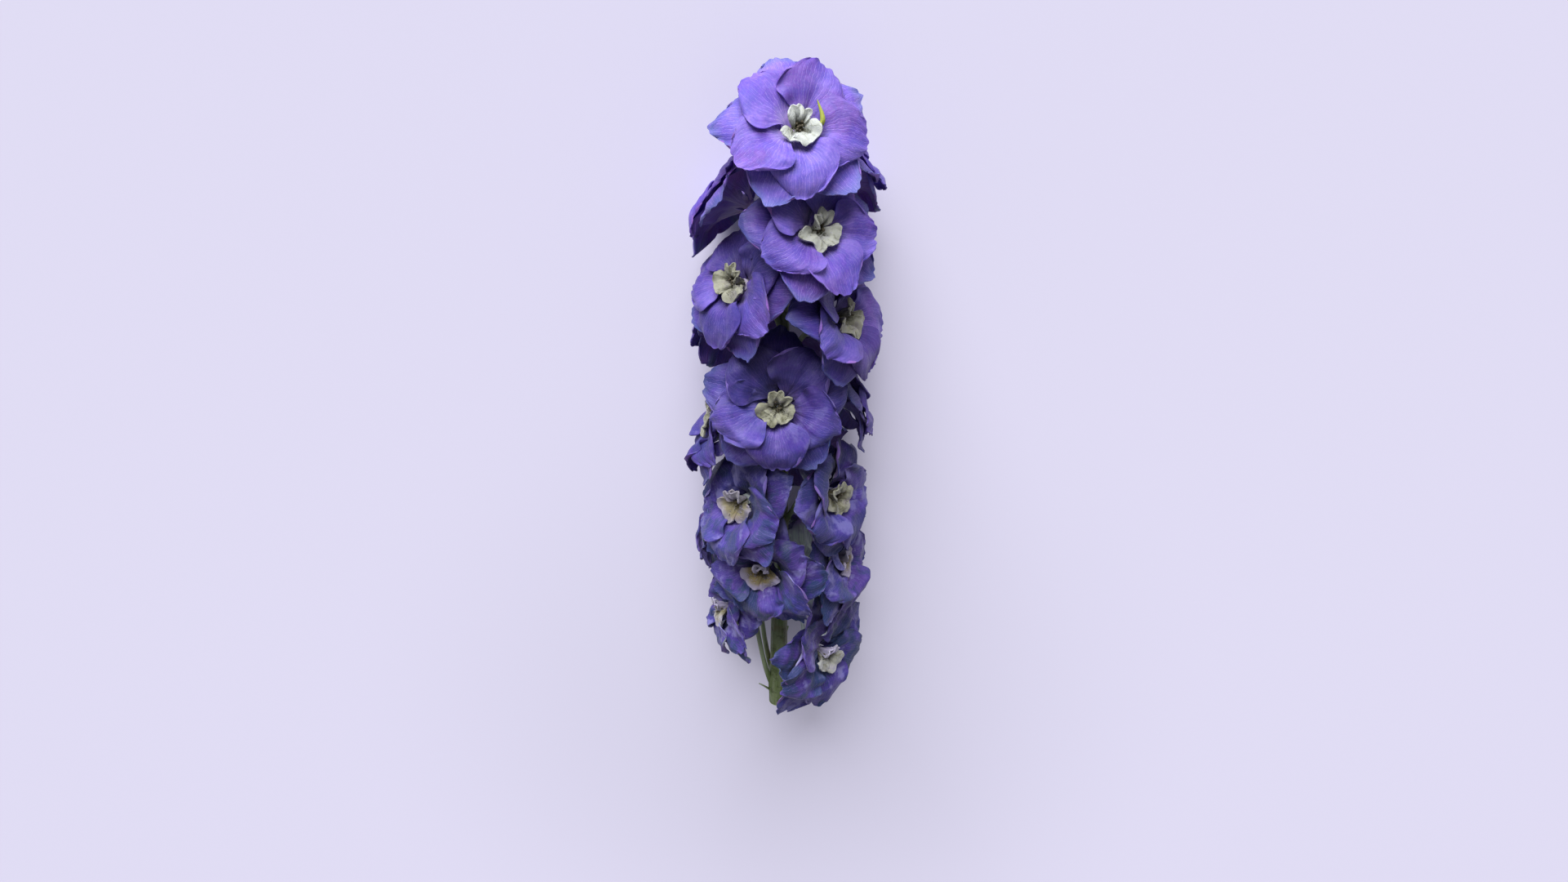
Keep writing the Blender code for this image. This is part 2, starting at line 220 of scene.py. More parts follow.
class Crumple:
    """A seeded relief of soft folds over a plane, between -1 and 1."""

    sharpness = 1.3

    def __init__(self, draw: random.Random, longest: float, shortest: float, count: int = 9):
        """Draws the folds.

        Args:
            draw: The seeded source of numbers.
            longest: The longest distance between folds.
            shortest: The shortest distance between folds.
            count: How many sets of folds are added up.
        """
        self.waves = []
        for k in range(count):
            length = longest * (shortest / longest) ** (k / (count - 1))
            turn = draw.uniform(0, math.pi)
            self.waves.append((math.cos(turn) / length, math.sin(turn) / length,
                               draw.uniform(0, FULL_TURN), length / longest))
        self.total = sum(wave[3] for wave in self.waves)

    def __call__(self, x: Array, y: Array) -> Array:
        """The relief at the given places.

        Args:
            x: The places along the plane's first direction.
            y: The places along its second direction.

        Returns:
            The relief, between -1 and 1.
        """
        relief = np.zeros_like(x)
        for along_x, along_y, start, share in self.waves:
            phase = math.pi * (along_x * x + along_y * y) + start
            relief = relief + share * (1 - 2 * np.abs(np.sin(phase)) ** self.sharpness)
        return relief / self.total


@dataclass(frozen=True)
class Wave:
    """A sine wave over a petal. Its phase grows across, along and with the petal's own start."""

    height: float
    across: float
    along: float = 0.0
    start: float = 1.0

    def __call__(self, u: Array, v: Array, start: float) -> Array:
        """The wave at the given places."""
        return self.height * np.sin(self.across * u + self.along * v + self.start * start)


@dataclass(frozen=True)
class SepalForm:
    """The size and shape of the sepals of one ring.

    The share of the length by which the midrib runs past a round tip is point.
    """

    length: float
    half_width: float
    point: float
    slope_tip: float
    rise: float


@dataclass(frozen=True)
class Sepal:
    """One sepal of a floret, with its own folds and curls."""

    angle: float
    form: SepalForm
    ring: Ring
    rank: int
    pressed: float
    tint: float
    cup: float
    pleat: float
    pleats: float
    pleat_start: float
    ruffle: float
    ruffles: float
    ruffle_start: float
    curl: float
    skew: float
    crumpling: float
    crumple: Crumple


@dataclass
class Floret:
    """One floret's place, size and shape. Its axes have +Z out of the face and +Y up the stem."""

    index: int
    share: float
    axes: Array
    hub: Array
    root: Array
    size: float
    droop: float
    saddle: float
    saddle_turn: float
    wave: float
    wave_turn: float
    bends: Array
    limits: list[tuple[Array, float]] = field(default_factory=list)

    def to_world(self, points: Array) -> Array:
        """Turns points in the floret's axes into points of the part."""
        return points @ self.axes.T + self.hub

    def to_local(self, points: Array) -> Array:
        """Turns points of the part into points in the floret's axes."""
        return (points - self.hub) @ self.axes


@dataclass
class SpikePlan:
    """Where each floret stands on the spike, and how neighbours press on each other.

    The plays of tilt, roll and droop are in degrees. Of each pair for the painted shade and the
    open tip, the first number is where it starts and the second is over how far it grows, but
    painted_shade_shares gives how much each part of the painted shade counts. The painted shade
    darkens the sepals under the floret above and towards the stem, where its shadow falls.
    """

    axis: Vector
    florets: int = 20
    lowest: float = 0.046
    step: float = 0.0119
    first_turn: float = math.radians(62)
    spiral_turn: float = math.radians(-137.5)
    hub_out_low: float = 0.0194
    hub_out_tip: float = 0.0125
    tilt_low: float = math.radians(2)
    tilt_tip: float = math.radians(38)
    size_low: float = 0.95
    size_tip: float = 0.87
    size_play: tuple[float, float] = (0.97, 1.03)
    tilt_play: float = 4.0
    roll_play: float = 12.0
    droop_play: tuple[float, float] = (-8.0, 6.0)
    saddle_heights: tuple[float, float] = (0.0006, 0.0018)
    wave_heights: tuple[float, float] = (0.0005, 0.0010)
    pedicel_drop_low: float = 0.038
    pedicel_drop_tip: float = 0.0185
    pedicel_feet: dict[int, float] = field(default_factory=lambda: {0: 0.010, 1: 0.007, 4: 0.012})
    shrunk: dict[int, float] = field(default_factory=lambda: {1: 0.86, 4: 0.90})
    leans: dict[int, tuple[float, float]] = field(default_factory=lambda: {
        0: (-0.002, -14), 1: (0.004, 7.5), 2: (-0.006, 6), 3: (0.013, -24), 4: (-0.001, 2),
        5: (-0.020, -18), 6: (0.006, 5), 8: (-0.017, 11), 9: (0.000, 12), 10: (-0.003, -15),
        11: (-0.008, 7), 12: (0.001, 8), 13: (0.000, -11), 14: (0.003, 18), 16: (0.001, 8),
        17: (-0.006, 0), 18: (-0.008, 20), 19: (0.000, 42),
    })
    outer: SepalForm = SepalForm(0.0302, 0.0160, 0.13, math.radians(-24), 0.0)
    inner: SepalForm = SepalForm(0.0276, 0.0150, 0.0, math.radians(-14), 0.0034)
    ring_count: int = 5
    slope_root: float = math.radians(50)
    root_out: float = 0.0028
    round_rim: float = 0.2
    widths: tuple[float, ...] = (0.07, 0.0, 3.34, -0.27, -2.50)
    overlap_lift: float = 0.0012
    lip_drop: float = 0.0030
    wall: float = 0.0007
    stack_step: float = 0.00022
    sectors: int = 6
    parting_gap: float = 0.0014
    parting_passes: int = 20
    parting_directions: int = 400
    parting_reach: float = 0.075
    parting_softness: float = 0.0012
    floor_softness: float = 0.0005
    fullness: float = 1.085
    raggedness: float = 0.0008
    margin: tuple[Wave, ...] = (Wave(0.016, 5.3), Wave(0.011, 11.7, 0.0, 2.3),
                                Wave(0.009, 19.1, 0.0, -1.7))
    ribs: Wave = Wave(0.00008, 9 * math.pi, 0.0, 3.0)
    frill: Wave = Wave(0.00030, 19.0, 9.0, 5.0)
    furrows: tuple[tuple[float, float], ...] = ((0.00035, 0.0), (0.00016, 0.45))
    furrow_width: float = 0.13
    root_free: float = 0.006
    bend_from: float = 0.007
    bend_full: float = 0.020
    press_depth: float = 0.0020
    press_stack: tuple[float, ...] = (0.0, 0.0010, 0.0, 0.0010, 0.0020)
    press_outer: float = 0.0030
    # Painted shade under the floret above and towards the stem; the open tip florets take none.
    painted_shade_upper: tuple[float, float] = (-0.004, 0.024)
    painted_shade_deep: tuple[float, float] = (0.034, 0.020)
    painted_shade_shares: tuple[float, float] = (0.75, 0.45)
    open_tip: tuple[float, float] = (0.90, 0.10)
    seed: int = 7

    def stem_point(self, along: float, out: float = 0.0, turn: float = 0.0) -> Vector:
        """A point beside the stem's axis: turn 0 is straight up."""
        return self.axis + Vector((out * math.sin(turn), along, out * math.cos(turn)))

    def outward(self, point: Array) -> Array:
        """The direction from the stem's axis to a point, square to the stem.

        Args:
            point: The point.

        Returns:
            A direction of length 1.
        """
        away = point - np.array(self.axis)
        away[1] = 0
        return away / np.linalg.norm(away)

    def floret_axes(self, turn: float, tilt: float, roll: float) -> Array:
        """The axes of a floret, as the columns of a matrix.

        Args:
            turn: Its angle round the stem.
            tilt: How far its face looks up the stem.
            roll: Its turn about its own axis.

        Returns:
            A matrix of three rows and three columns.
        """
        outward = Vector((math.sin(turn), 0, math.cos(turn)))
        stemward = Vector((0, 1, 0))
        face = math.cos(tilt) * outward + math.sin(tilt) * stemward
        up = math.cos(tilt) * stemward - math.sin(tilt) * outward
        turned = Matrix((up.cross(face), up, face)).transposed()
        return np.array(turned @ Matrix.Rotation(roll, 3, "Z"))

    def place_florets(self) -> list[Floret]:
        """Places every floret on the spike.

        Returns:
            The florets, from the lowest to the tip.
        """
        florets = []
        for index in range(self.florets):
            draw = random.Random(self.seed * 100 + index)
            lean_along, lean_turn = self.leans.get(index, (0.0, 0.0))
            along = self.lowest + self.step * index + lean_along
            turn = self.first_turn + self.spiral_turn * index + math.radians(lean_turn)
            share = index / (self.florets - 1)
            out = self.hub_out_low + (self.hub_out_tip - self.hub_out_low) * share**6
            tilt = self.tilt_low + (self.tilt_tip - self.tilt_low) * share**1.5
            tilt += math.radians(draw.uniform(-self.tilt_play, self.tilt_play))
            drop = self.pedicel_drop_low
            drop += (self.pedicel_drop_tip - self.pedicel_drop_low) * share**0.5
            roll = math.radians(draw.uniform(-self.roll_play, self.roll_play))
            florets.append(Floret(
                index=index,
                share=share,
                axes=self.floret_axes(turn, tilt, roll),
                hub=np.array(self.stem_point(along, out, turn)),
                root=np.array(self.stem_point(self.pedicel_feet.get(index, along - drop))),
                size=(self.size_low + (self.size_tip - self.size_low) * share**3)
                * draw.uniform(*self.size_play) * self.shrunk.get(index, 1.0),
                droop=math.radians(draw.uniform(*self.droop_play)),
                saddle=draw.uniform(*self.saddle_heights),
                saddle_turn=draw.uniform(0, FULL_TURN),
                wave=draw.uniform(*self.wave_heights),
                wave_turn=draw.uniform(0, FULL_TURN),
                bends=np.zeros((self.sectors, 3)),
            ))
        return florets

    def sepals(self, floret: Floret) -> list[Sepal]:
        """Draws the two rings of a floret. The outer one starts over the spur.

        Args:
            floret: The floret.

        Returns:
            The sepals, the outer ring first.
        """
        age = 1 - floret.share
        sepals = []
        for ring, form in ((Ring.OUTER, self.outer), (Ring.INNER, self.inner)):
            for k in range(self.ring_count):
                rank = ring.value * self.ring_count + k
                draw = random.Random(self.seed * 10000 + floret.index * 20 + rank)
                outer_press = (1 - ring.value) * self.press_outer
                sepals.append(Sepal(
                    angle=math.pi / 2 + FULL_TURN / self.ring_count * (k + 0.5 * ring.value),
                    form=form,
                    ring=ring,
                    rank=rank,
                    pressed=self.wall / 2 + self.press_stack[k] + outer_press,
                    tint=draw.random(),
                    cup=draw.uniform(-0.0002, 0.0013),
                    pleat=draw.uniform(0.0002, 0.0005 + 0.0003 * age),
                    pleats=draw.uniform(1.2, 2.4),
                    pleat_start=draw.uniform(0, FULL_TURN),
                    ruffle=draw.uniform(0.0004, 0.0010 + 0.0010 * age),
                    ruffles=draw.uniform(1.6, 3.2),
                    ruffle_start=draw.uniform(0, FULL_TURN),
                    curl=draw.uniform(-0.0004, 0.0030),
                    skew=draw.uniform(-0.10, 0.10),
                    crumpling=0.00040 + 0.00090 * age,
                    crumple=Crumple(draw, longest=0.012, shortest=0.0035),
                ))
        return sepals

    def arc(self, share: Array, length: float, slopes: tuple[float, float],
            root_out: float) -> tuple[Array, Array, Array]:
        """A petal's midline, as an arc that leaves the floret's axis.

        Args:
            share: How far along the arc, from 0 to 1.
            length: The arc's length.
            slopes: Its slope at the root and at the tip.
            root_out: How far from the axis it starts.

        Returns:
            The distance from the axis, the height and the slope.
        """
        bend = slopes[1] - slopes[0]
        slope = slopes[0] + bend * share
        out = root_out + length * (np.sin(slope) - math.sin(slopes[0])) / bend
        height = length * (math.cos(slopes[0]) - np.cos(slope)) / bend
        return out, height, slope

    def rest_points(self, floret: Floret, sepal: Sepal, u: Array, v: Array,
                    fine: bool) -> tuple[Array, Array, Array]:
        """A sepal's middle surface in its floret's axes, with no neighbour pressing on it.

        Args:
            floret: The floret.
            sepal: The sepal.
            u: The places across.
            v: The places along.
            fine: Whether the folds, curls and ruffles are added.

        Returns:
            The points, their angle round the floret's axis, and their distance from it.
        """
        form = sepal.form
        full = self.fullness if fine else 1.0
        share = v * (1 - self.round_rim * u**2) + form.point * v**4 * (1 - np.abs(u)) ** 2
        if fine:
            edge = sum(wave(u, v, sepal.pleat_start) for wave in self.margin)
            ragged = 0.5 + sepal.crumpling / self.raggedness
            share = share * full + ragged * edge * v**5
        slopes = (self.slope_root, form.slope_tip + floret.droop)
        out, height, slope = self.arc(share, form.length * floret.size, slopes, self.root_out)
        width = sum(term * v**k for k, term in enumerate(self.widths))
        angle = sepal.angle + u * form.half_width * floret.size * full * width / out
        lift = self.overlap_lift * u * smooth_step(share / 0.3)
        reach = out / (self.outer.length * floret.size)
        rise = floret.saddle * reach**2 * np.cos(2 * angle + floret.saddle_turn)
        rise = rise + floret.wave * reach**3 * np.cos(5 * angle + floret.wave_turn) + form.rise
        if fine:
            angle = angle + sepal.skew * v**2 * (1 - 0.5 * u**2)
            lift = lift + self.fine_relief(sepal, u, v, out * np.cos(angle), out * np.sin(angle))
            lower = np.maximum(0, -np.sin(angle))
            rise = rise - self.lip_drop * lower * smooth_step((reach - 0.45) / 0.6)
        flat = out - lift * np.sin(slope)
        points = np.stack([flat * np.cos(angle), flat * np.sin(angle),
                           height + lift * np.cos(slope) + rise], -1)
        return points, angle, out

    def fine_relief(self, sepal: Sepal, u: Array, v: Array, x: Array, y: Array) -> Array:
        """How far a sepal's folds, curls and ruffles stand out of its smooth surface.

        Args:
            sepal: The sepal.
            u: The places across.
            v: The places along.
            x: The places in the floret's plane.
            y: The places in the floret's plane.

        Returns:
            The height over the smooth surface.
        """
        open_out = smooth_step(v / 0.5)
        body = np.sqrt(np.clip(4 * v * (1 - v), 0, 1))
        furrows = -sum(depth * bump_at(np.abs(u), middle, self.furrow_width)
                       for depth, middle in self.furrows) * body
        ribs = self.ribs(u, v, sepal.pleat_start) * open_out
        cup = sepal.cup * u**2 * open_out
        pleats = sepal.pleat * np.sin(math.pi * sepal.pleats * u + sepal.pleat_start) * open_out
        start = sepal.ruffle_start + np.where(u > 0, 2.1, 0)
        ruffle = sepal.ruffle * np.sin(FULL_TURN * sepal.ruffles * v + start) * np.abs(u) ** 3
        frill = self.frill(u, v, sepal.ruffle_start) * smooth_step((v - 0.6) / 0.4)
        curl = -sepal.curl * smooth_step((v - 0.7) / 0.3) ** 2 * (1 - 0.4 * np.abs(u))
        crumple = sepal.crumpling * sepal.crumple(x, y) * smooth_step(v / 0.35)
        return furrows + ribs + cup + pleats + ruffle * open_out + frill + curl + crumple

    def sector_weights(self, angle: Array) -> Array:
        """How much of each sector's bend a point at this angle takes.

        Args:
            angle: The points' angles round the floret's axis.

        Returns:
            One share for each sector, along a last dimension.
        """
        step = FULL_TURN / self.sectors
        offsets = angle[..., None] - np.arange(self.sectors) * step + math.pi
        return smooth_step(1 - np.abs(offsets % FULL_TURN - math.pi) / step)

    def bend_weight(self, out: Array) -> Array:
        """How much of a bend a point at this distance from the floret's axis takes."""
        return np.clip((out - self.bend_from) / (self.bend_full - self.bend_from), 0, 1)

    def fine_points(self, floret: Floret, sepal: Sepal, u: Array, v: Array) -> Array:
        """Points of a sepal as it lies on the spike, bent clear of its neighbours.

        Args:
            floret: The floret.
            sepal: The sepal.
            u: The places across.
            v: The places along.

        Returns:
            The points in the part's frame.
        """
        points, angle, out = self.rest_points(floret, sepal, u, v, fine=True)
        world = floret.to_world(points)
        world += self.bend_weight(out)[..., None] * (self.sector_weights(angle) @ floret.bends)
        free = smooth_step((out - self.root_free) / self.root_free)
        for _ in range(2):
            for direction, limit in floret.limits:
                margin = self.wall + self.stack_step * self.press_rank(sepal, floret, direction)
                excess = soft_excess(world @ direction - limit + margin, self.parting_softness)
                world -= (free * excess)[..., None] * direction
        world[..., 2] += soft_excess(sepal.pressed - world[..., 2], self.floor_softness)
        return world

    def painted_shade_depth(self, floret: Floret, points: Array) -> Array:
        """How much painted shade points take, from 0 to 1, the deeper they lie under the floret
        above and towards the stem.

        Args:
            floret: The floret.
            points: The points, one row each.

        Returns:
            One number for each point.
        """
        from_height, height = self.painted_shade_upper
        upper = smooth_step((floret.to_local(points)[:, 1] - from_height) / height)
        flat = points - np.array(self.axis)
        from_depth, depth = self.painted_shade_deep
        deep = smooth_step((from_depth - np.hypot(flat[:, 0], flat[:, 2])) / depth)
        from_share, share = self.open_tip
        open_tip = smooth_step((floret.share - from_share) / share)
        shares = self.painted_shade_shares
        return np.clip((shares[0] * upper + shares[1] * deep) * (1 - open_tip), 0, 1)

    def press_rank(self, sepal: Sepal, floret: Floret, direction: Array) -> int:
        """A sepal's place in the stack of its floret's sepals against a plane."""
        in_front = float(direction @ floret.axes[:, 2]) > 0
        return 2 * self.ring_count - 1 - sepal.rank if in_front else sepal.rank

    def part_florets(self, florets: list[Floret]) -> None:
        """Bends the sepals of neighbours to either side of the plane that parts them best.

        Args:
            florets: The florets, which are given their bends and limits.
        """
        clouds = [Cloud(self, floret) for floret in florets]
        directions = self.sphere_directions()
        down = np.array((0.0, 0.0, -1.0))
        for _ in range(self.parting_passes):
            for cloud in clouds:
                cloud.push_back(down, self.press_depth - self.wall / 2)
            for low, high, direction, gap, middle in self.partings(clouds, directions):
                if gap < self.parting_gap:
                    low.push_back(direction, middle - self.parting_gap / 2)
                    high.push_back(-direction, -middle - self.parting_gap / 2)
        for low, high, direction, _, middle in self.partings(clouds, directions):
            low.floret.limits.append((direction, middle))
            high.floret.limits.append((-direction, -middle))

    def partings(self, clouds: list["Cloud"], directions: Array
                 ) -> Iterator[tuple["Cloud", "Cloud", Array, float, float]]:
        """Finds, for each pair of near florets in turn, the plane that parts them best.

        Args:
            clouds: The sample points of the florets.
            directions: The directions that a plane may look in.

        Returns:
            Both clouds, the plane's direction, the gap across it and its middle, a pair at a time.
        """
        for i, low in enumerate(clouds):
            for high in clouds[i + 1:]:
                if np.linalg.norm(low.floret.hub - high.floret.hub) > self.parting_reach:
                    continue
                reach_low = (low.points() @ directions.T).max(axis=0)
                reach_high = (high.points() @ directions.T).min(axis=0)
                best = int(np.argmax(reach_high - reach_low))
                gap = reach_high[best] - reach_low[best]
                middle = (reach_high[best] + reach_low[best]) / 2
                yield low, high, directions[best], gap, middle

    def sphere_directions(self) -> Array:
        """Spreads directions evenly over a sphere.

        Returns:
            The directions, each of length 1, one row each.
        """
        k = np.arange(self.parting_directions) + 0.5
        height = 1 - 2 * k / self.parting_directions
        turn = math.pi * (1 + 5**0.5) * k
        flat = np.sqrt(1 - height**2)
        return np.stack([flat * np.cos(turn), flat * np.sin(turn), height], -1)


class Cloud:
    """The sample points of one floret's sepals, and what places their bends."""

    least_weight = 0.2

    def __init__(self, plan: SpikePlan, floret: Floret):
        """Samples the floret's sepals.

        Args:
            plan: The spike's plan.
            floret: The floret.
        """
        u, v = np.meshgrid(np.linspace(-1, 1, 3), np.linspace(0, 1, 4))
        parts = [plan.rest_points(floret, sepal, u.ravel(), v.ravel(), fine=False)
                 for sepal in plan.sepals(floret)]
        points, angle, out = (np.concatenate(column) for column in zip(*parts))
        self.floret = floret
        self.rest = floret.to_world(points)
        self.sectors = plan.sector_weights(angle)
        self.weight = plan.bend_weight(out)

    def points(self) -> Array:
        """The sample points as they are bent now."""
        return self.rest + self.weight[:, None] * (self.sectors @ self.floret.bends)

    def push_back(self, direction: Array, limit: float) -> None:
        """Bends the sectors whose points pass the plane at limit along direction.

        Args:
            direction: The direction that the plane looks in.
            limit: How far along it the plane lies.
        """
        excess = self.points() @ direction - limit
        past = (self.weight > self.least_weight) & (excess > 0)
        for sector in range(self.sectors.shape[1]):
            reached = past & (self.sectors[:, sector] > self.least_weight)
            if reached.any():
                self.floret.bends[sector] -= excess[reached].max() * direction


class PetalBlank:
    """A sheet of petal, modelled once and copied for each petal."""

    def __init__(self, across: int, along: int):
        """Adds the sheet.

        Args:
            across: How many cells it has across.
            along: How many cells it has from root to tip.
        """
        deselect_all()
        bpy.ops.mesh.primitive_grid_add(x_subdivisions=across, y_subdivisions=along, size=2)
        self.sheet = bpy.context.object
        flat = coordinates(self.sheet)
        self.u = flat[:, 0]
        self.v = (flat[:, 1] + 1) / 2

    def copy(self, surface: Callable[[Array, Array], Array], shade: Colour,
             painted_shade_depth: Callable[[Array], Array] | None = None) -> Piece:
        """Makes a petal from the sheet.

        Args:
            surface: Gives the point at each place across and along.
            shade: Three numbers for the petal's material to read.
            painted_shade_depth: Gives how much painted shade each point takes, by how deep it
                stands under other florets.

        Returns:
            The petal, as an open sheet.
        """
        petal = self.sheet.copy()
        petal.data = self.sheet.data.copy()
        bpy.context.scene.collection.objects.link(petal)
        place(petal, surface(self.u, self.v))
        mark(petal, shade, painted_shade_depth(coordinates(petal)) if painted_shade_depth else 0.0)
        return petal

    def remove(self) -> None:
        """Removes the sheet once the last petal is made."""
        bpy.data.objects.remove(self.sheet)


def flip_to(piece: Piece, outward: Array) -> None:
    """Turns a sheet's faces over where they look against a direction on the whole.

    Args:
        piece: The sheet.
        outward: The direction that its faces are to look in.
    """
    normals = np.zeros(len(piece.data.polygons) * 3)
    piece.data.polygons.foreach_get("normal", normals)
    if normals.reshape(-1, 3).sum(axis=0) @ outward < 0:
        piece.data.flip_normals()


def tube(paths: Sequence[tuple[Sequence[Array], Sequence[float]]], sides_step: int,
         name: str) -> Piece:
    """Makes round tubes along paths of points, with closed ends.

    Args:
        paths: The points and the radii of each tube.
        sides_step: Blender's bevel resolution, which gives four sides and two more a step.
        name: The object's name.

    Returns:
        One mesh object with all the tubes.
    """
    deselect_all()
    curve = bpy.data.curves.new(name, "CURVE")
    curve.dimensions = "3D"
    curve.bevel_depth = 1
    curve.bevel_resolution = sides_step
    curve.use_fill_caps = True
    for points, radii in paths:
        spline = curve.splines.new("POLY")
        spline.points.add(len(points) - 1)
        for knot, spot, radius in zip(spline.points, points, radii):
            knot.co = (*spot, 1)
            knot.radius = radius
    line = bpy.data.objects.new(name, curve)
    bpy.context.scene.collection.objects.link(line)
    activate(line)
    bpy.ops.object.convert(target="MESH")
    solid = bpy.context.object
    bpy.ops.object.mode_set(mode="EDIT")
    bpy.ops.mesh.select_all(action="SELECT")
    bpy.ops.mesh.remove_doubles(threshold=1e-6)
    bpy.ops.mesh.normals_make_consistent(inside=False)
    bpy.ops.object.mode_set(mode="OBJECT")
    return solid


def smooth_path(knots: Sequence[Any], count: int) -> list[Array]:
    """Finds points along a smooth curve through knots (Catmull-Rom).

    Args:
        knots: The points that the curve runs through.
        count: How many points are wanted.

    Returns:
        The points in order.
    """
    knots = [np.asarray(knot, float) for knot in knots]
    padded = [2 * knots[0] - knots[1], *knots, 2 * knots[-1] - knots[-2]]
    points = []
    for k in range(count):
        place_along = k / (count - 1) * (len(knots) - 1)
        i = min(int(place_along), len(knots) - 2)
        t = place_along - i
        a, b, c, d = padded[i:i + 4]
        points.append(0.5 * (2 * b + (c - a) * t + (2 * a - 5 * b + 4 * c - d) * t**2
                             + (3 * b - a - 3 * c + d) * t**3))
    return points


def bezier(start: Array, leave: Array, arrive: Array, end: Array, count: int) -> list[Array]:
    """Points along a cubic curve."""
    return [start * (1 - t) ** 3 + leave * 3 * t * (1 - t) ** 2
            + arrive * 3 * t**2 * (1 - t) + end * t**3 for t in np.linspace(0, 1, count)]


def operator(operation: str, swapped: bool = False) -> Callable[..., "Value"]:
    """Makes one of Value's methods.

    Args:
        operation: The Math node's operation.
        swapped: Whether the other input comes first.

    Returns:
        A method that adds a Math node of this operation.
    """
    def method(self: "Value", *others: Any) -> "Value":
        """Adds the Math node.

        Args:
            others: The node's other inputs.

        Returns:
            The node's result.
        """
        inputs = (*others, self) if swapped else (self, *others)
        return self.graph.node("ShaderNodeMath", {"operation": operation},
                               dict(enumerate(inputs)))

    return method


class Value:
    """A socket of a material's nodes, with the arithmetic that the materials use."""

    def __init__(self, graph: "Graph", socket: bpy.types.NodeSocket):
        """Wraps a socket of a graph."""
        self.graph = graph
        self.socket = socket

    __add__ = operator("ADD")
    __radd__ = operator("ADD", swapped=True)
    __sub__ = operator("SUBTRACT")
    __rsub__ = operator("SUBTRACT", swapped=True)
    __mul__ = operator("MULTIPLY")
    __rmul__ = operator("MULTIPLY", swapped=True)
    __pow__ = operator("POWER")
    abs = operator("ABSOLUTE")
    sin = operator("SINE")

    def ramp(self, low: float, high: float, to_low: float = 0.0, to_high: float = 1.0) -> "Value":
        """A smooth ramp of self.

        Args:
            low: Where the ramp starts.
            high: Where it ends.
            to_low: The result at the start.
            to_high: The result at the end.

        Returns:
            The ramp's value.
        """
        return self.graph.node(
            "ShaderNodeMapRange", {"interpolation_type": "SMOOTHSTEP"},
            {"Value": self, "From Min": low, "From Max": high, "To Min": to_low,
             "To Max": to_high})


@dataclass(frozen=True)
class Skin:
    """How a surface takes the light, apart from its colour and its relief."""

    roughness: tuple[float, float]
    bump: float
    bump_depth: float = 0.0003
    specular: float = 0.5
    sheen: float = 0.0
    sheen_roughness: float = 0.5
    subsurface: float = 0.0
    radius: Colour = WHITE
    scale: float = 0.002


